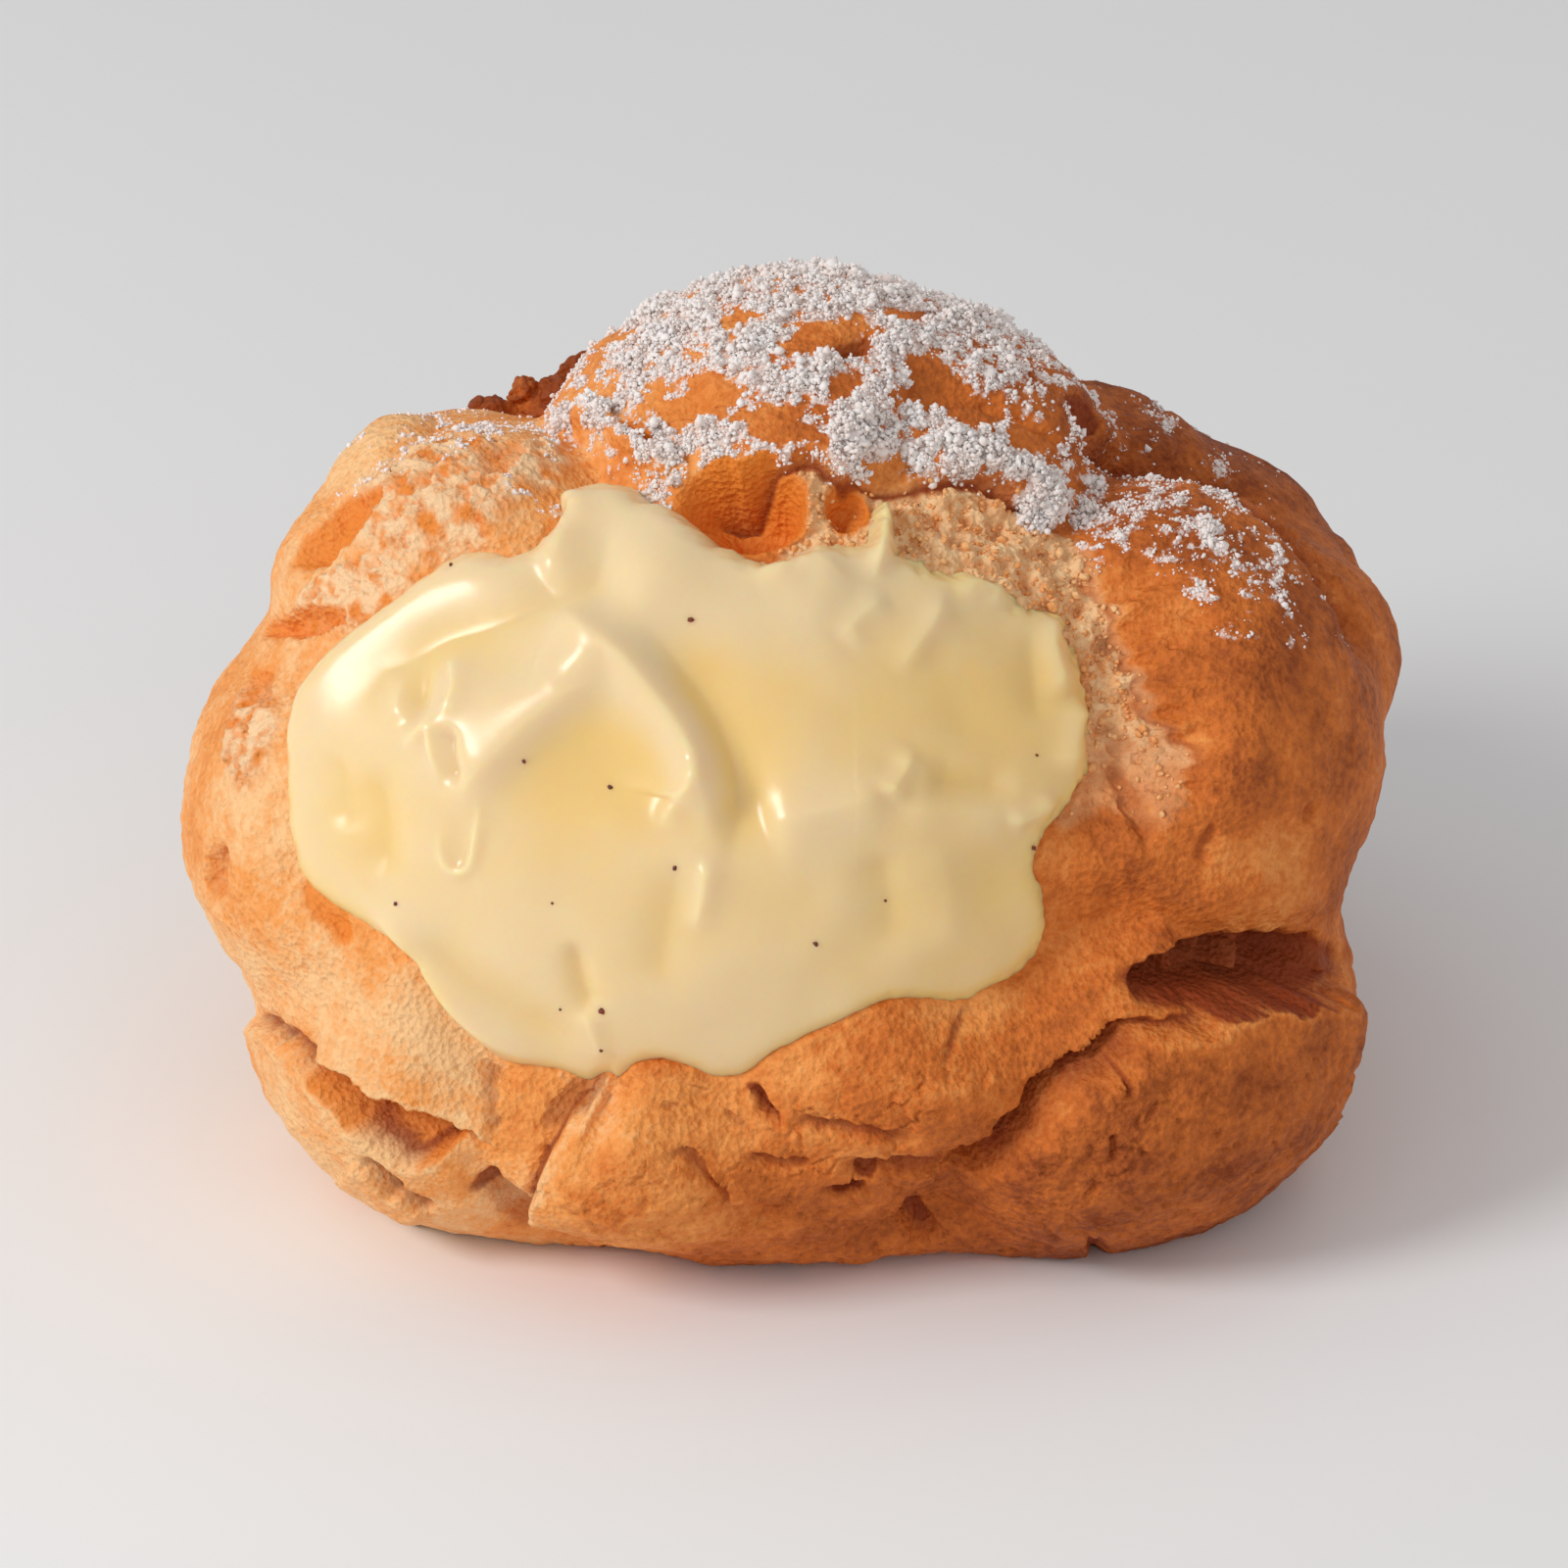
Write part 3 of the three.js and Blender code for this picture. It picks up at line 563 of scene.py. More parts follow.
def crust_change(places):
    """What ledges, grooves, hollows and swells add to the radius, with the colour marks that go with them:
    painted shade at ledge feet, in grooves and in hollows, painted highlights along ledge tops, and the
    hollows' orange, part moist skin and part painted glow.
    """
    change, raised, sunk, covered, lit = np.zeros((5, len(places)))
    dark, glow, edge_highlight = np.zeros((3, len(places)))
    busy = np.zeros(len(places), bool)
    for ledge in LEDGES:
        side, share = beside(places, smooth_path(ledge["path"]), 20)
        seen = np.isfinite(side)
        fade = ends_fade(share, 0.1) * seen
        near = np.where(seen, side, -99.0)
        plate = ramp(-0.12, 0.14, near) * np.exp(-np.maximum(near, 0) / ledge["run"])
        foot = np.exp(-((near + 0.3) / 0.35) ** 2)
        change += ledge["rise"] * (plate - 0.4 * foot) * fade
        if "covers" in ledge:
            reaches = ramp(ledge["covers"] + 0.8, ledge["covers"], near) * seen
            covered = np.maximum(covered, ramp(-0.1, 0.12, near) * reaches)
            lit = np.maximum(lit, ramp(0.12, 0.4, near) * reaches)
        # Painted shade: a dark line at each plate's foot, under its edge.
        dark = np.maximum(dark, min(0.85, 0.75 * ledge["rise"]) * np.exp(-((near + 0.25) / 0.26) ** 2) * fade)
        # Painted highlight: a light band along each plate's top edge.
        edge_highlight = np.maximum(edge_highlight, min(1, ledge["rise"]) * np.exp(-((near - 0.3) / 0.32) ** 2) * fade)
        busy |= np.abs(near) < 0.9
    for groove in GROOVES:
        side, share = beside(places, smooth_path(groove["path"]), 5)
        cut = np.exp(-np.abs(side / groove["half"]) ** 3) * ends_fade(share, 0.2)
        if "fin" in groove:
            raised = np.maximum(raised, cut * groove["fin"])
        else:
            change -= groove["depth"] * cut
            # Painted shade along the bottom of each cut groove.
            dark = np.maximum(dark, cut * np.clip(0.3 + 0.5 * groove["depth"], 0, 1))
        busy |= np.abs(side) < groove["half"] + 0.5
    for hollow in HOLLOWS:
        across = in_ellipse(places, hollow["at"], hollow["half"], hollow["turn"])
        dip = ramp(1 + hollow["soft"], 1 - hollow["soft"], across)
        # Each hollow and a little beyond it takes painted shade and orange, part moist skin and part painted
        # glow.
        hollow_shade_and_glow = ramp(1.32, 1.05, across)
        sunk += hollow["depth"] * dip
        dark = np.maximum(dark, hollow.get("dark", 0) * hollow_shade_and_glow * (1 - lit))
        glow = np.maximum(glow, hollow.get("glow", 0) * hollow_shade_and_glow * (1 - lit))
        busy |= across < 1.3
    for swell in SWELLS:
        across = in_ellipse(places, swell["at"], swell["half"], swell["turn"])
        change += swell["rise"] * np.exp(-across ** 2)
    change -= sunk * (1 - raised) * (1 - covered)
    return change, dark * (1 - 0.3 * raised), glow, edge_highlight, busy


def crust_form(rays):
    """The choux's radius along each ray, with the marks that its colours follow."""
    lobes = lobed_radius(rays)
    surface = rays * lobes[:, None]
    local, depth, width, crumbly, level = tear_sight(rays)
    hidden_side = ramp(0.25, -0.35, local[:, 2])
    radius = lobes + 0.4 * fractal(surface, 11, 2, 1) + 0.17 * fractal(surface, 2.6, 2, 9)
    radius += 0.07 * fractal(surface, 1.0, 3, 14)
    wander = surface + 2.2 * np.stack([billow(surface, 7, s) for s in (3, 4, 5)], 1)
    crease = 1 - np.abs(billow(wander, 9, 6))
    radius -= 0.9 * ramp(0.8, 1.0, crease) * hidden_side
    marks = {name: np.zeros(len(rays)) for name in ("dark", "glow", "crumb", "net", "thread", "edge_highlight")}
    # Painted shade along the creases on the hidden side.
    marks["dark"] += 0.5 * ramp(0.88, 1.0, crease) * hidden_side

    front = np.flatnonzero(local[:, 2] > -0.25)
    places = crust_places(rays[front], local[front], lobes[front])
    change, dark, glow, edge_highlight, _ = crust_change(places)
    marks["dark"][front] = np.maximum(marks["dark"][front], dark)
    marks["glow"][front] = glow
    marks["edge_highlight"][front] = edge_highlight
    fibre = np.stack([places @ (0.80, -0.60) / 5, places @ (0.60, 0.80), 0 * places[:, 0]], 1)
    pulled = ramp(-8, -20, places[:, 0]) * ramp(12, 4, places[:, 1]) + ramp(20, 26, places[:, 0]) * ramp(
        -5, -9, places[:, 1]) * ramp(-19, -15, places[:, 1])
    change += 0.16 * pulled * fractal(fibre, 0.9, 3, 65)
    crackle = 1 - np.abs(billow(surface[front] + 0.6 * billow(surface[front], 1.2, 77)[:, None], 2.2, 78))
    plates = ramp(-15, -20, places[:, 1]) * ramp(-20, -15, places[:, 0])
    change -= 0.3 * plates * ramp(0.9, 1.0, crackle)
    # Painted shade along the crackle lines of the lower plates.
    marks["dark"][front] = np.maximum(marks["dark"][front], 0.3 * plates * ramp(0.92, 1.0, crackle))
    for at, half, turn, pale in NETS:
        across = in_ellipse(places, at, half, turn)
        marks["net"][front] = np.maximum(marks["net"][front], ramp(1.2, 0.8, across))
        marks["thread"][front] = np.maximum(marks["thread"][front], pale * ramp(1.2, 0.8, across))
    tangle = surface[front] + 0.8 * np.stack([billow(surface[front], 1.6, s) for s in (85, 86, 87)], 1)
    strands = np.maximum(1 - np.abs(billow(tangle, 1.8, 88)) * 3, 1 - np.abs(billow(tangle, 0.8, 89)) * 2.4)
    change += 0.45 * marks["net"][front] * np.clip(strands, -0.6, 1)
    change += 0.3 * marks["net"][front] * fractal(tangle, 1.4, 3, 90)
    patchy = ramp(-0.7, 0.5, fractal(surface[front], 1.5, 3, 91))
    marks["thread"][front] = np.clip(0.6 * marks["thread"][front] * patchy + 0.25 * patchy
                                     + 0.8 * np.clip(strands, 0, 1) * patchy, 0, 1)
    radius[front] += change

    share = np.clip(-depth / width, 0, 1)
    rounded = np.sqrt(1 - (1 - share) ** 2)
    slanted = share * share * (3 - 2 * share)
    face = rounded + (slanted - rounded) * np.clip(1.4 * crumbly, 0, 1)
    base = np.minimum(reach(local, *BULGE) + level, lobes)
    radius = base + (radius - base) * face
    torn = ramp(-0.5, 0.5, inside_distance(places, CRUMB_LINE))
    torn *= 0.3 + 0.7 * ramp(-2, 6, places[:, 1])
    marks["crumb"][front] = torn * (depth[front] < 0.8) * (1 - np.clip(glow + dark, 0, 1))
    radius -= TEAR_SINK * ramp(0, TEAR_SINK_RUN, depth)
    marks["depth"] = depth
    marks["relief"] = radius - lobes
    marks["places"] = local[:, :2] * lobes[:, None]
    marks["facing"] = local[:, 2]
    return radius, marks


def crumb_relief(points, marks):
    """How far each point of the torn face stands out or in, and how deep in a pore it lies, from 0 to 1."""
    torn = np.flatnonzero(marks["crumb"] > 0.01)
    spots = points[torn]
    bent = spots + 0.45 * np.stack([billow(spots, 1.0, s) for s in (5, 6, 7)], 1)
    walls = 0.65 * pits(bent * (1, 1, 0.8), 2.2, 3) + 0.35 * pits(bent, 1.0, 4)
    relief, pocket = np.zeros(len(points)), np.zeros(len(points))
    relief[torn] = marks["crumb"][torn] * (0.8 * fractal(spots, 2.6, 4, 61) - 1.1 * (1 - walls))
    # Pocket marks the middles of the pores, where the crumb is painted darker and deeper orange as shade.
    pocket[torn] = marks["crumb"][torn] * ramp(0.82, 0.4, walls)
    return relief, pocket


def custard_form(rays):
    """The custard's radius along each ray, and how much painted warm shading deepens its yellow there."""
    local, depth, _, _, _ = tear_sight(rays)
    bulge = reach(local, *BULGE)
    shown = bulge.copy()
    front = np.flatnonzero(depth > -1.5)
    places = (local * bulge[:, None])[front, :2]
    rise = np.zeros(len(front))
    for fold in FOLDS:
        side, share = beside(places, smooth_path(fold["path"], steps=8), 8)
        half = np.where(side < 0, fold["halves"][0], fold["halves"][1])
        rise += fold["rise"] * np.exp(-(np.abs(side) / half) ** 1.6) * ends_fade(share, 0.3)
    for scoop in SCOOPS:
        rise -= scoop["depth"] * np.exp(-in_ellipse(places, scoop["at"], scoop["half"]) ** 2)
    rise += 0.2 * billow((rays * 36)[front], 5, 71)
    shown[front] += rise
    rich = np.zeros(len(rays))
    # Painted shading: deeper, warmer yellow towards the right, lower down, in fold valleys and near the
    # tear's edge; paler on ridges.
    rich[front] = 0.22 + 0.42 * ramp(-8, 18, places[:, 0]) - 0.35 * ramp(4, 16, places[:, 1])
    rich[front] += 0.5 * np.clip(-rise, -0.4, 1.2) + 0.5 * ramp(2.2, 0.2, depth[front])
    share = np.clip((depth - BEAD_START) / BEAD_RUN, 0, 1)
    bead = np.sqrt(1 - (1 - share) ** 2)
    hidden = np.minimum(lobed_radius(rays) - WALL - WALL_GAP, bulge - BEAD)
    return np.where(depth > BEAD_START, (shown - BEAD) + BEAD * bead, hidden), np.clip(rich, 0, 1)


# ---------------------------------------------------------------- meshes

def ball(detail, focus, spread):
    """A sphere of triangles, drawn closer together towards the focus."""
    bm = bmesh.new()
    bmesh.ops.create_icosphere(bm, subdivisions=detail, radius=1)
    for vert in bm.verts:
        vert.co = (vert.co + Vector(focus) * spread).normalized()
    return bm


def refine(bm, chosen):
    """Splits the edges whose two ends are chosen, and puts the new points back on the sphere."""
    kept = chosen(np.array([vert.co for vert in bm.verts]))
    bm.verts.index_update()
    edges = [edge for edge in bm.edges if kept[edge.verts[0].index] and kept[edge.verts[1].index]]
    bmesh.ops.subdivide_edges(bm, edges=edges, cuts=1, use_grid_fill=True)
    bmesh.ops.triangulate(bm, faces=[face for face in bm.faces if len(face.verts) > 3])
    for vert in bm.verts:
        vert.co.normalize()


def positions(mesh):
    out = np.empty(len(mesh.vertices) * 3, np.float32)
    mesh.vertices.foreach_get("co", out)
    return out.reshape(-1, 3).astype(float)


def place(mesh, points):
    mesh.vertices.foreach_set("co", (points * MM).astype(np.float32).ravel())
    mesh.update()


def normals_of(mesh):
    out = np.empty(len(mesh.vertices) * 3, np.float32)
    mesh.vertex_normals.foreach_get("vector", out)
    return out.reshape(-1, 3).astype(float)


def mark(mesh, **marks):
    """Stores values for each point, for the materials to read."""
    for name, values in marks.items():
        layer = mesh.attributes.new(name, "FLOAT", "POINT")
        layer.data.foreach_set("value", np.asarray(values, np.float32))


def finished(mesh, name, material, slot, *stands_for):
    """Makes the mesh a smooth piece of the puff, riding on its one body."""
    mesh.polygons.foreach_set("use_smooth", np.ones(len(mesh.polygons), bool))
    mesh.materials.append(material)
    piece = bpy.data.objects.new(name, mesh)
    bpy.context.scene.collection.objects.link(piece)
    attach(piece, "root")
    if stands_for:
        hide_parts(*stands_for)
    return piece


def to_mesh(bm, name):
    mesh = bpy.data.meshes.new(name)
    bm.to_mesh(mesh)
    bm.free()
    return mesh


# ---------------------------------------------------------------- materials

def new_group(name, inputs, outputs):
    """An empty shader node group with float sockets, and its input and output nodes."""
    group = bpy.data.node_groups.new(name, "ShaderNodeTree")
    for label, value in inputs.items():
        kind = "NodeSocketVector" if value is None else "NodeSocketFloat"
        socket = group.interface.new_socket(label, in_out="INPUT", socket_type=kind)
        if value is not None:
            socket.default_value = value
    for label in outputs:
        group.interface.new_socket(label, in_out="OUTPUT", socket_type="NodeSocketFloat")
    return group, group.nodes.new("NodeGroupInput"), group.nodes.new("NodeGroupOutput")


def node(tree, kind, inputs=None, **settings):
    """A node with its settings and input values; an input that is a socket is linked."""
    made = tree.nodes.new(kind)
    for key, value in settings.items():
        setattr(made, key, value)
    for key, value in (inputs or {}).items():
        if isinstance(value, bpy.types.NodeSocket):
            tree.links.new(value, made.inputs[key])
        else:
            made.inputs[key].default_value = value
    return made


def math_node(tree, operation, *values):
    return node(tree, "ShaderNodeMath", dict(enumerate(values)), operation=operation).outputs[0]


def mapped(tree, value, low, high, to_low=0.0, to_high=1.0):
    """A value carried smoothly from one range to another, and kept inside it."""
    inputs = {"Value": value, "From Min": low, "From Max": high, "To Min": to_low, "To Max": to_high}
    return node(tree, "ShaderNodeMapRange", inputs, interpolation_type="SMOOTHSTEP").outputs["Result"]


def mixed(tree, share, first, second, blend="MIX"):
    made = node(tree, "ShaderNodeMix", data_type="RGBA", blend_type=blend)
    for socket, value in zip((made.inputs[0], made.inputs[6], made.inputs[7]), (share, first, second)):
        if isinstance(value, bpy.types.NodeSocket):
            tree.links.new(value, socket)
        elif socket.type == "RGBA":
            socket.default_value = (*value, 1)
        else:
            socket.default_value = value
    return made.outputs[2]


def shades(tree, value, stops):
    """A colour that follows a value through the given stops."""
    ramp_node = node(tree, "ShaderNodeValToRGB", {"Fac": value})
    elements = ramp_node.color_ramp.elements
    while len(elements) < len(stops):
        elements.new(1)
    for element, (at, colour) in zip(elements, stops):
        element.position = at
        element.color = (*colour, 1)
    return ramp_node.outputs["Color"]


def mottle_group():
    """Uneven blotches, from 0 to 1."""
    group, given, result = new_group("Mottle", {"Vector": None, "Scale": 100.0}, ["Value"])
    scale = given.outputs["Scale"]
    blotches = node(group, "ShaderNodeTexNoise", {
        "Vector": given.outputs["Vector"], "Scale": scale, "Detail": 4.0, "Roughness": 0.6})
    group.links.new(mapped(group, blotches.outputs["Fac"], 0.3, 0.7), result.inputs["Value"])
    return group


def skin_group():
    """The height of a baked or powdery skin: wrinkles with small pores."""
    sockets = {"Vector": None, "Wrinkle Scale": 900.0, "Pore Scale": 2200.0, "Pores": 0.4}
    group, given, result = new_group("Skin Relief", sockets, ["Height"])
    wrinkle = node(group, "ShaderNodeTexNoise", {
        "Vector": given.outputs["Vector"], "Scale": given.outputs["Wrinkle Scale"],
        "Detail": 4.0, "Roughness": 0.6, "Distortion": 0.2})
    pore = node(group, "ShaderNodeTexVoronoi", {
        "Vector": given.outputs["Vector"], "Scale": given.outputs["Pore Scale"]})
    share = math_node(group, "MULTIPLY", pore.outputs["Distance"], given.outputs["Pores"])
    total = math_node(group, "ADD", wrinkle.outputs["Fac"], share)
    group.links.new(total, result.inputs["Height"])
    return group


GROUPS = {}  # the node groups made so far


def grouped(tree, name, **inputs):
    if name not in GROUPS:
        GROUPS[name] = {"Mottle": mottle_group, "Skin Relief": skin_group}[name]()
    made = tree.nodes.new("ShaderNodeGroup")
    made.node_tree = GROUPS[name]
    for key, value in inputs.items():
        label = key.replace("_", " ")
        if isinstance(value, bpy.types.NodeSocket):
            tree.links.new(value, made.inputs[label])
        else:
            made.inputs[label].default_value = value
    return made.outputs[0]


def new_material(name, roughness, **constants):
    """A material with a plain Principled shader, its node tree and its object coordinates."""
    material = bpy.data.materials.new(name)
    material.use_nodes = True
    tree = material.node_tree
    shader = tree.nodes["Principled BSDF"]
    shader.inputs["Roughness"].default_value = roughness
    for key, value in constants.items():
        shader.inputs[key.replace("_", " ")].default_value = value
    where = tree.nodes.new("ShaderNodeTexCoord").outputs["Object"]
    return material, tree, shader, where


def attribute(tree, name):
    return node(tree, "ShaderNodeAttribute", attribute_name=name).outputs["Fac"]


def bumped(tree, shader, height, strength, distance):
    bump = node(tree, "ShaderNodeBump", {"Height": height, "Strength": strength, "Distance": distance})
    tree.links.new(bump.outputs["Normal"], shader.inputs["Normal"])


def choux_material(colours):
    material, tree, shader, where = new_material("baked choux", 0.6, Specular_IOR_Level=0.2)
    brown = attribute(tree, "brown")
    height = grouped(tree, "Skin Relief", Vector=where, Wrinkle_Scale=1300.0, Pore_Scale=2200.0, Pores=0.6)
    blotch = grouped(tree, "Mottle", Vector=where, Scale=170.0)
    speck = grouped(tree, "Mottle", Vector=where, Scale=1500.0)
    tone = math_node(tree, "MULTIPLY_ADD", blotch, 0.30, brown)
    tone = math_node(tree, "MULTIPLY_ADD", speck, 0.17, tone)
    # Painted light and shade on the skin relief: paler on its highs, darker in its lows.
    tone = math_node(tree, "MULTIPLY_ADD", mapped(tree, height, 0.5, 0.95), -0.06, tone)
    tone = math_node(tree, "SUBTRACT", tone, 0.11)
    colour = shades(tree, tone, [
        (0.0, colours.pale), (0.3, colours.gold), (0.62, colours.brown), (1.0, colours.dark)])
    crumb_tone = grouped(tree, "Mottle", Vector=where, Scale=800.0)
    # Painted shade: the crumb turns darker and deeper orange in its pores.
    crumb_tone = math_node(tree, "SUBTRACT", crumb_tone, attribute(tree, "pocket"))
    crumb_colour = shades(tree, math_node(tree, "MULTIPLY_ADD", crumb_tone, 0.5, 0.5), [
        (0.0, colours.crumb_deep), (0.95, colours.crumb)])
    colour = mixed(tree, attribute(tree, "crumb"), colour, crumb_colour)
    # The net's cells and the hollows take the glow colour: part moist orange skin, part painted glow of light
    # through thin dough.
    net_colour = mixed(tree, attribute(tree, "thread"), colours.glow, colours.thread)
    colour = mixed(tree, math_node(tree, "MULTIPLY", attribute(tree, "net"), 0.9), colour, net_colour)
    colour = mixed(tree, math_node(tree, "MULTIPLY", attribute(tree, "glow"), 0.9), colour, colours.glow)
    # Painted shade: cracks, hollows, ledge feet and creases turn towards the crevice shade colour.
    colour = mixed(tree, mapped(tree, attribute(tree, "dark"), 0.1, 1.0, 0.0, 0.92), colour, colours.crevice_shade)
    film_noise = grouped(tree, "Mottle", Vector=where, Scale=2200.0)
    film = math_node(tree, "MULTIPLY_ADD", film_noise, 0.6, attribute(tree, "dusting"))
    colour = mixed(tree, mapped(tree, film, 0.62, 1.1, 0.0, 0.85), colour, colours.sugar_shade)
    tree.links.new(colour, shader.inputs["Base Color"])
    bumped(tree, shader, height, 0.8, 0.0004)
    return material


def custard_material(colours):
    material, tree, shader, where = new_material(
        "custard", 0.26, Specular_IOR_Level=0.5, Subsurface_Weight=1.0, Subsurface_Scale=0.0016)
    shader.inputs["Subsurface Radius"].default_value = (1.0, 0.6, 0.25)
    tone = grouped(tree, "Mottle", Vector=where, Scale=120.0)
    # The custard's colour follows a random mottle and its painted warm shading.
    tone = math_node(tree, "MULTIPLY_ADD", tone, 0.25, attribute(tree, "rich"))
    colour = mixed(tree, mapped(tree, tone, 0.0, 1.2), colours.custard, colours.custard_deep)
    tree.links.new(colour, shader.inputs["Base Color"])
    height = grouped(tree, "Skin Relief", Vector=where, Wrinkle_Scale=350.0, Pore_Scale=900.0, Pores=0.1)
    bumped(tree, shader, height, 0.06, 0.0004)
    return material


def sugar_material(colours):
    material, tree, shader, where = new_material("icing sugar", 0.9, Specular_IOR_Level=0.2)
    tone = grouped(tree, "Mottle", Vector=where, Scale=900.0)
    tree.links.new(mixed(tree, tone, colours.sugar_shade, colours.sugar), shader.inputs["Base Color"])
    return material


def seed_material(colours):
    material, tree, shader, where = new_material("vanilla seed", 0.5)
    tone = grouped(tree, "Mottle", Vector=where, Scale=4000.0)
    tree.links.new(mixed(tree, tone, colours.seed, colours.crevice_shade), shader.inputs["Base Color"])
    return material


def floor_material():
    material, tree, shader, where = new_material("pale floor", 0.9, Specular_IOR_Level=0.1)
    tone = grouped(tree, "Mottle", Vector=where, Scale=3.0)
    tree.links.new(mixed(tree, tone, (0.9, 0.9, 0.9), (0.93, 0.93, 0.93)), shader.inputs["Base Color"])
    return material


# ---------------------------------------------------------------- settings that a user may change

def colour_setting(name, description, default):
    return bpy.props.FloatVectorProperty(
        name=name, description=description, subtype="COLOR", size=3, min=0, max=1, default=default)


class PuffColours(bpy.types.PropertyGroup):
    pale: colour_setting("Pale crust", "Least baked choux", (0.98, 0.58, 0.27))
    gold: colour_setting("Golden crust", "Choux baked golden", (0.94, 0.36, 0.09))
    brown: colour_setting("Brown crust", "Choux baked brown", (0.70, 0.18, 0.028))
    dark: colour_setting("Dark crust", "Choux baked dark", (0.30, 0.06, 0.010))
    crumb: colour_setting("Crumb", "Torn inside of the choux", (0.97, 0.64, 0.34))
    # Deep crumb serves the crumb's random mottle and the painted shade in its pores.
    crumb_deep: colour_setting("Deep crumb", "Hollows of the crumb", (0.76, 0.27, 0.065))
    thread: colour_setting("Thread", "Pale threads and thin skin of the dough", (0.97, 0.66, 0.38))
    # Moist skin is partly the hollows' own orange and partly a painted glow of light through thin dough.
    glow: colour_setting("Moist skin", "Thin, moist skin in the hollows", (0.86, 0.25, 0.03))
    # Crevice is the colour of painted shade at the bottom of cracks and hollows; vanilla seeds are mottled
    # with it too.
    crevice_shade: colour_setting("Crevice", "Bottom of cracks", (0.27, 0.038, 0.009))
    custard: colour_setting("Custard", "Main colour of the custard", (0.89, 0.70, 0.42))
    # Deep custard serves random yellower patches and the painted warm shade of the custard.
    custard_deep: colour_setting("Deep custard", "Yellower patches of the custard", (0.92, 0.64, 0.24))
    sugar: colour_setting("Sugar", "Icing sugar", (0.95, 0.91, 0.89))
    sugar_shade: colour_setting("Damp sugar", "Thinner icing sugar", (0.92, 0.81, 0.76))
    seed: colour_setting("Seed", "Vanilla seeds", (0.03, 0.02, 0.012))


class PuffSizes(bpy.types.PropertyGroup):
    crumb_size: bpy.props.FloatProperty(
        name="Crumb", description="Diameter of one small crumb of dough", default=0.00034, unit="LENGTH")
    seed_size: bpy.props.FloatProperty(
        name="Vanilla seed", description="Diameter of one seed speck", default=0.0005, unit="LENGTH")
    grain_size: bpy.props.FloatProperty(
        name="Sugar clot", description="Diameter of one small clot of sugar", default=0.00024, unit="LENGTH")


# ---------------------------------------------------------------- operators

class PUFF_OT_bake_choux(bpy.types.Operator):
    """Bakes the choux shell with its lobes, cracks and torn face"""
    bl_idname = "puff.bake_choux"
    bl_label = "Bake Choux"

    def execute(self, context):
        bm = ball(CRUST_DETAIL, TEAR_AXES[2], 0.2)
        refine(bm, fine_crust)
        refine(bm, busy_crust)
        mesh = to_mesh(bm, "choux_crust")
        rays = positions(mesh)
        radius, marks = crust_form(rays)
        points = HEART + rays * radius[:, None]
        place(mesh, points)
        relief, marks["pocket"] = crumb_relief(points, marks)
        points += normals_of(mesh) * relief[:, None]
        points[:, 2] = np.maximum(points[:, 2], 0)
        place(mesh, points)
        kept = ("crumb", "pocket", "glow", "dark", "net", "thread")
        shown = {name: np.clip(marks[name], 0, 1) for name in kept}
        mark(mesh, brown=browning(points, rays, marks), dusting=dust_amount(points, marks), **shown)
        choux = choux_material(context.scene.puff_colours)
        finished(mesh, "choux_crust", choux, "choux_crust", "choux_shell")
        return {"FINISHED"}


def fine_crust(rays):
    """Where the crust needs small faces: on the shown side, but not under the custard."""
    local, depth, _, _, _ = tear_sight(rays)
    return (local[:, 2] > -0.02) & (depth < 1.2)


def busy_crust(rays):
    """Where it needs the smallest ones: at cracks, edges, hollows, nets and crumb."""
    local, depth, _, _, _ = tear_sight(rays)
    chosen = np.flatnonzero((local[:, 2] > 0.05) & (depth < 0.9))
    lobes = lobed_radius(rays[chosen])
    places = crust_places(rays[chosen], local[chosen], lobes)
    busy = crust_change(places)[-1] | (inside_distance(places, CRUMB_LINE) > -0.6)
    for at, half, turn, _ in NETS:
        busy |= in_ellipse(places, at, half, turn) < 1.1
    out = np.zeros(len(rays), bool)
    out[chosen] = busy
    return out


def browning(points, rays, marks):
    """How brown each point is coloured, from 0 to 1, and paler along the painted highlights at the plates'
    top edges.
    """
    brown = 0.09 + 0.47 * ramp(-36, 20, points[:, 0]) + 0.14 * fractal(rays * 40, 16, 2, 81)
    brown += 0.12 * ramp(0.2, 1.4, marks["relief"]) - 0.10 * ramp(-0.2, -1.6, marks["relief"])
    brown += 0.16 * ramp(26, 50, points[:, 2]) * ramp(0, 26, points[:, 0])
    brown += 0.18 * ramp(24, 6, points[:, 2]) * ramp(-20, 0, points[:, 0])
    brown += 0.22 * ramp(6, 30, points[:, 1]) + 0.14 * ramp(2, 12, points[:, 1]) * ramp(12, 24, points[:, 0])
    brown -= 0.16 * ramp(-14, -28, points[:, 0]) * ramp(28, 14, points[:, 2])
    # Painted highlight: paler along the plates' top edges.
    brown -= 0.16 * marks["edge_highlight"]
    return np.clip(brown, 0, 1)


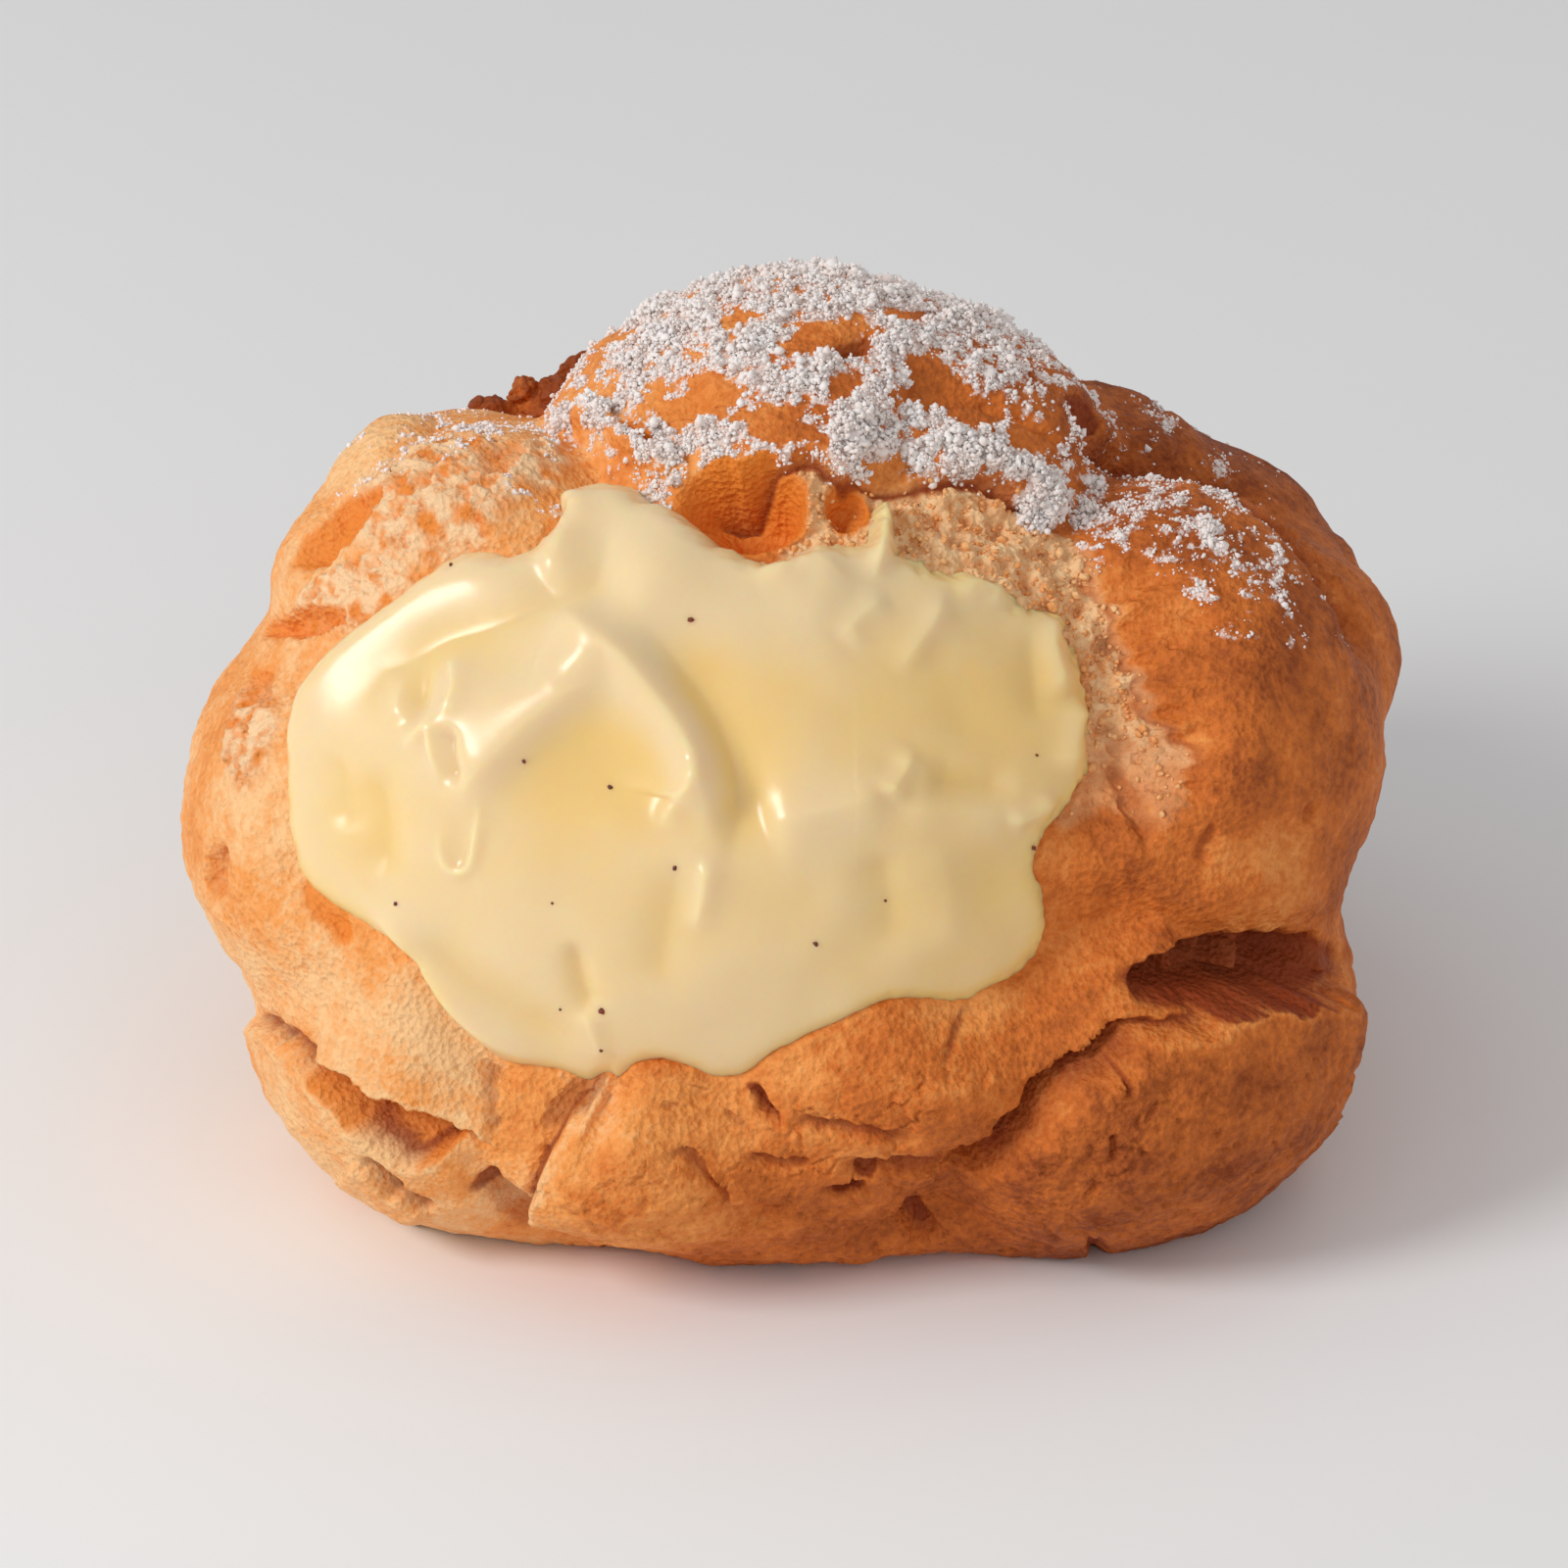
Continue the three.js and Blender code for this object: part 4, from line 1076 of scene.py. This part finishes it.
def dust_amount(points, marks):
    """How thickly sugar lies at each point, from 0 to 1: where it fell, broken up into drifts and gaps."""
    amount = np.zeros(len(points))
    bare = 1 - ramp(0.25, 0.65, marks["glow"] + marks["dark"])
    for fall in DUST:
        away = np.sqrt((((points - fall["at"]) / fall["half"]) ** 2).sum(1))
        amount = np.maximum(amount, fall["amount"] * ramp(1.5, 0.6, away))
    front = np.flatnonzero(marks["facing"] > -0.1)
    spots = points[front]
    strewn = np.stack([fractal(spots, 2.6, 3, 121), fractal(spots, 2.6, 3, 131)], 1)
    places = marks["places"][front] + 1.1 * strewn
    seen = amount[front]
    for at, half, turn in BARE:
        seen *= 0.12 + 0.88 * ramp(0.6, 1.3, in_ellipse(places, at, half, turn))
    seen *= 1 - np.clip(marks["crumb"][front], 0, 1)
    for drift in DRIFTS:
        side, share = beside(places, smooth_path(drift["path"]), 4)
        heap = drift["amount"] * np.exp(-(side / drift["half"]) ** 2) * ends_fade(share, 0.1)
        seen = np.maximum(seen, heap)
    amount[front] = seen
    amount *= ramp(-2.0, -0.6, marks["relief"])
    amount *= bare
    gaps = 0.45 * fractal(points, 2.4, 2, 95) + 0.5 * fractal(points, 0.8, 2, 96)
    broken = amount - 0.42 + gaps * (amount > 0.02)
    return np.clip(1.7 * broken, 0, 1.6) * (marks["depth"] < -0.4)


class PUFF_OT_fill_custard(bpy.types.Operator):
    """Fills the shell with custard and draws the spoon's folds in it"""
    bl_idname = "puff.fill_custard"
    bl_label = "Fill Custard"

    def execute(self, context):
        bm = ball(CUSTARD_DETAIL, TEAR_AXES[2], 0.3)
        refine(bm, lambda rays: tear_sight(rays)[1] > -4)
        refine(bm, lambda rays: tear_sight(rays)[1] > -1.6)
        mesh = to_mesh(bm, "custard")
        rays = positions(mesh)
        radius, rich = custard_form(rays)
        place(mesh, HEART + rays * radius[:, None])
        mark(mesh, rich=rich)
        finished(mesh, "custard", custard_material(context.scene.puff_colours), "custard", "custard_filling")
        return {"FINISHED"}


class PUFF_OT_dust_sugar(bpy.types.Operator):
    """Dusts the puff with clots of icing sugar"""
    bl_idname = "puff.dust_sugar"
    bl_label = "Dust Sugar"

    def execute(self, context):
        crust = bpy.data.objects["choux_crust"].data
        sugar = sugar_material(context.scene.puff_colours)
        centres, normals, areas = faces_of(crust)
        amount = per_face(crust, "dusting")
        clumps = 0.5 + fractal(centres, 0.5, 2, 97)
        weight = areas * amount ** 1.6 * np.clip(clumps, 0.1, 1)
        size = context.scene.puff_sizes.grain_size / MM
        for number, name in enumerate(("icing_sugar_a", "icing_sugar_b", "icing_sugar_c", "icing_sugar_d")):
            chance = np.random.default_rng(40 + number)
            chosen, points = scattered(crust, weight, GRAINS_PER_PIECE, chance)
            sizes = size * chance.lognormal(0, 0.4, len(points)) * (0.62 + 0.38 * amount[chosen])
            piled = chance.random(len(points)) ** 2 * 0.8 * np.clip(amount[chosen] - 0.45, 0, 1.15)
            points = points + normals[chosen] * (piled + 0.12 * sizes)[:, None]
            mesh = joined_copies(name, clot(), points, sizes, chance)
            finished(mesh, name, sugar, "icing_sugar")
        return {"FINISHED"}


class PUFF_OT_add_scraps(bpy.types.Operator):
    """Adds the dark scraps of torn dough that stand behind the crust"""
    bl_idname = "puff.add_scraps"
    bl_label = "Add Scraps"

    def execute(self, context):
        bm = bmesh.new()
        for at, size in SCRAPS:
            lump = bmesh.ops.create_icosphere(bm, subdivisions=5, radius=size)
            bmesh.ops.translate(bm, vec=HEART + np.array(at) @ TEAR_AXES, verts=lump["verts"])
        mesh = to_mesh(bm, "torn_scraps")
        points = positions(mesh)
        place(mesh, points)
        rough = 0.9 * fractal(points, 2.6, 4, 111) - 0.6 * (1 - pits(points, 1.3, 112))
        points += normals_of(mesh) * rough[:, None]
        place(mesh, points)
        count = len(points)
        tone = np.clip(0.95 + 0.5 * rough, 0.5, 1)
        plain = {name: np.zeros(count) for name in ("crumb", "pocket", "glow", "net", "thread", "dusting")}
        # Painted shade in the scraps' pits.
        mark(mesh, brown=tone, dark=np.clip(-rough, 0, 0.7), **plain)
        finished(mesh, "torn_scraps", bpy.data.materials["baked choux"], "choux_crust")
        return {"FINISHED"}


class PUFF_OT_scatter_crumbs(bpy.types.Operator):
    """Scatters small crumbs of dough over the torn face"""
    bl_idname = "puff.scatter_crumbs"
    bl_label = "Scatter Crumbs"

    def execute(self, context):
        crust = bpy.data.objects["choux_crust"].data
        chance = np.random.default_rng(17)
        _, normals, areas = faces_of(crust)
        torn = np.clip(per_face(crust, "crumb"), 0, 1)
        chosen, points = scattered(crust, areas * torn, CRUMB_COUNT, chance)
        sizes = context.scene.puff_sizes.crumb_size / MM * chance.lognormal(0, 0.35, len(points))
        points = points + normals[chosen] * 0.1 * sizes[:, None]
        mesh = joined_copies("loose_crumbs", clot(), points, sizes, chance)
        finished(mesh, "loose_crumbs", bpy.data.materials["baked choux"], "choux_crust")
        return {"FINISHED"}


class PUFF_OT_strew_seeds(bpy.types.Operator):
    """Strews specks of vanilla over the custard"""
    bl_idname = "puff.strew_seeds"
    bl_label = "Strew Seeds"

    def execute(self, context):
        chance = np.random.default_rng(7)
        spots = np.array(SEEDS)
        rays = rays_through(spots[:, :2])
        points = HEART + rays * (custard_form(rays)[0] - 0.02)[:, None]
        sizes = spots[:, 2] * context.scene.puff_sizes.seed_size / MM
        mesh = joined_copies("vanilla_seeds", clot(), points, sizes, chance)
        finished(mesh, "vanilla_seeds", seed_material(context.scene.puff_colours), "vanilla_seed")
        return {"FINISHED"}


def rays_through(places):
    """Rays from the heart through places (U, V) on the custard's round form."""
    out = np.full(len(places), 25.0)
    for _ in range(40):
        rays = np.column_stack([places, out])
        rays /= np.linalg.norm(rays, axis=1)[:, None]
        out = reach(rays, *BULGE) * rays[:, 2]
    return rays @ TEAR_AXES


def clot():
    """One small clot: a flattened ball of twenty faces."""
    bm = bmesh.new()
    bmesh.ops.create_icosphere(bm, subdivisions=1, radius=0.5)
    bmesh.ops.scale(bm, vec=(1, 1, 0.75), verts=bm.verts)
    return bm


def faces_of(mesh):
    """Centres in millimetres, normals and areas of a mesh's faces."""
    count = len(mesh.polygons)
    centres, normals, areas = np.empty(count * 3), np.empty(count * 3), np.empty(count)
    mesh.polygons.foreach_get("center", centres)
    mesh.polygons.foreach_get("normal", normals)
    mesh.polygons.foreach_get("area", areas)
    return centres.reshape(-1, 3) / MM, normals.reshape(-1, 3), areas / MM ** 2


def corners_of(mesh):
    """The three point numbers of each face of a mesh of triangles."""
    corners = np.empty(len(mesh.loops), np.int32)
    mesh.loops.foreach_get("vertex_index", corners)
    return corners.reshape(-1, 3)


def per_face(mesh, name):
    values = np.empty(len(mesh.vertices), np.float32)
    mesh.attributes[name].data.foreach_get("value", values)
    return values[corners_of(mesh)].mean(1).astype(float)


def scattered(mesh, weight, count, chance):
    """Points strewn over a mesh of triangles by weight, and the face that each lies on."""
    chosen = chance.choice(len(weight), count, p=weight / weight.sum())
    a, b = chance.random((2, count, 1))
    flip = a + b > 1
    a, b = np.where(flip, 1 - a, a), np.where(flip, 1 - b, b)
    corners = positions(mesh)[corners_of(mesh)[chosen]] / MM
    points = corners[:, 0] + a * (corners[:, 1] - corners[:, 0]) + b * (corners[:, 2] - corners[:, 0])
    return chosen, points


def turned(count, chance):
    """Random turns, one 3 by 3 matrix for each."""
    q = chance.normal(size=(count, 4))
    w, x, y, z = (q / np.linalg.norm(q, axis=1)[:, None]).T
    return np.stack([
        np.stack([1 - 2 * (y * y + z * z), 2 * (x * y - z * w), 2 * (x * z + y * w)], 1),
        np.stack([2 * (x * y + z * w), 1 - 2 * (x * x + z * z), 2 * (y * z - x * w)], 1),
        np.stack([2 * (x * z - y * w), 2 * (y * z + x * w), 1 - 2 * (x * x + y * y)], 1),
    ], 1)


def joined_copies(name, shape, points, sizes, chance):
    """One mesh that holds a turned, sized copy of a small shape at each point."""
    shape.verts.index_update()
    verts = np.array([vert.co for vert in shape.verts])
    faces = np.array([[vert.index for vert in face.verts] for face in shape.faces])
    shape.free()
    uneven = 1 + 0.22 * chance.normal(size=(len(points), len(verts), 1))
    shapes = (verts[None] * uneven) @ turned(len(points), chance).transpose(0, 2, 1)
    coordinates = (points[:, None] + shapes * sizes[:, None, None]) * MM
    indices = faces[None] + (np.arange(len(points)) * len(verts))[:, None, None]
    mesh = bpy.data.meshes.new(name)
    mesh.vertices.add(coordinates.size // 3)
    mesh.vertices.foreach_set("co", coordinates.astype(np.float32).ravel())
    mesh.loops.add(indices.size)
    mesh.loops.foreach_set("vertex_index", indices.astype(np.int32).ravel())
    mesh.polygons.add(indices.size // 3)
    mesh.polygons.foreach_set("loop_start", np.arange(0, indices.size, 3, dtype=np.int32))
    mesh.update(calc_edges=True)
    return mesh


class PUFF_OT_set_stage(bpy.types.Operator):
    """Sets a pale floor, soft studio light and the camera"""
    bl_idname = "puff.set_stage"
    bl_label = "Set Stage"

    def execute(self, context):
        bm = bmesh.new()
        bmesh.ops.create_grid(bm, x_segments=2, y_segments=2, size=FLOOR_HALF)
        floor = bpy.data.objects.new("floor", to_mesh(bm, "floor"))
        floor.data.materials.append(floor_material())
        context.scene.collection.objects.link(floor)

        world = bpy.data.worlds.new("studio")
        world.use_nodes = True
        world.node_tree.nodes["Background"].inputs["Color"].default_value = (1, 1, 1, 1)
        world.node_tree.nodes["Background"].inputs["Strength"].default_value = STUDIO_GLOW
        context.scene.world = world
        context.scene.view_settings.view_transform = "Standard"

        middle = Vector(HEART) * MM
        self.soft_light("key light", middle, **KEY_LIGHT)
        self.soft_light("fill light", middle, **FILL_LIGHT)

        camera = bpy.data.objects.new("camera", bpy.data.cameras.new("camera"))
        camera.data.lens = LENS
        camera.data.sensor_width = SENSOR
        camera.data.clip_start = NEAREST_SHOWN
        aim = middle + Vector(TEAR_AXES[0]) * AIM[0] * MM + Vector(TEAR_AXES[1]) * AIM[1] * MM
        camera.location = aim + Vector(TEAR_AXES[2]) * CAMERA_AWAY
        camera.rotation_euler = Vector(TEAR_AXES[2]).to_track_quat("Z", "Y").to_euler()
        context.scene.collection.objects.link(camera)
        context.scene.camera = camera
        return {"FINISHED"}

    def soft_light(self, name, middle, offset, size, power):
        data = bpy.data.lights.new(name, "AREA")
        data.shape = "DISK"
        data.size = size
        data.energy = power
        light = bpy.data.objects.new(name, data)
        light.location = middle + Vector(offset)
        light.rotation_euler = Vector(offset).to_track_quat("Z", "Y").to_euler()
        bpy.context.scene.collection.objects.link(light)


class PUFF_PT_panel(bpy.types.Panel):
    """Lists the steps that make the cream puff"""
    bl_idname = "PUFF_PT_panel"
    bl_label = "Cream Puff"
    bl_space_type = "VIEW_3D"
    bl_region_type = "UI"
    bl_category = "Cream Puff"

    def draw(self, context):
        for step in STEPS:
            self.layout.operator(step.bl_idname)
        for group in (context.scene.puff_sizes, context.scene.puff_colours):
            for name in group.__annotations__:
                self.layout.prop(group, name)


STEPS = (
    PUFF_OT_bake_choux, PUFF_OT_add_scraps, PUFF_OT_scatter_crumbs, PUFF_OT_fill_custard,
    PUFF_OT_strew_seeds, PUFF_OT_dust_sugar, PUFF_OT_set_stage)
CLASSES = (PuffColours, PuffSizes, *STEPS, PUFF_PT_panel)


def register():
    for cls in CLASSES:
        bpy.utils.register_class(cls)
    bpy.types.Scene.puff_colours = bpy.props.PointerProperty(type=PuffColours)
    bpy.types.Scene.puff_sizes = bpy.props.PointerProperty(type=PuffSizes)


def unregister():
    del bpy.types.Scene.puff_sizes
    del bpy.types.Scene.puff_colours
    for cls in reversed(CLASSES):
        bpy.utils.unregister_class(cls)


def main():
    register()
    for step in STEPS:
        group, name = step.bl_idname.split(".")
        getattr(getattr(bpy.ops, group), name)()


if __name__ == "__main__":
    main()
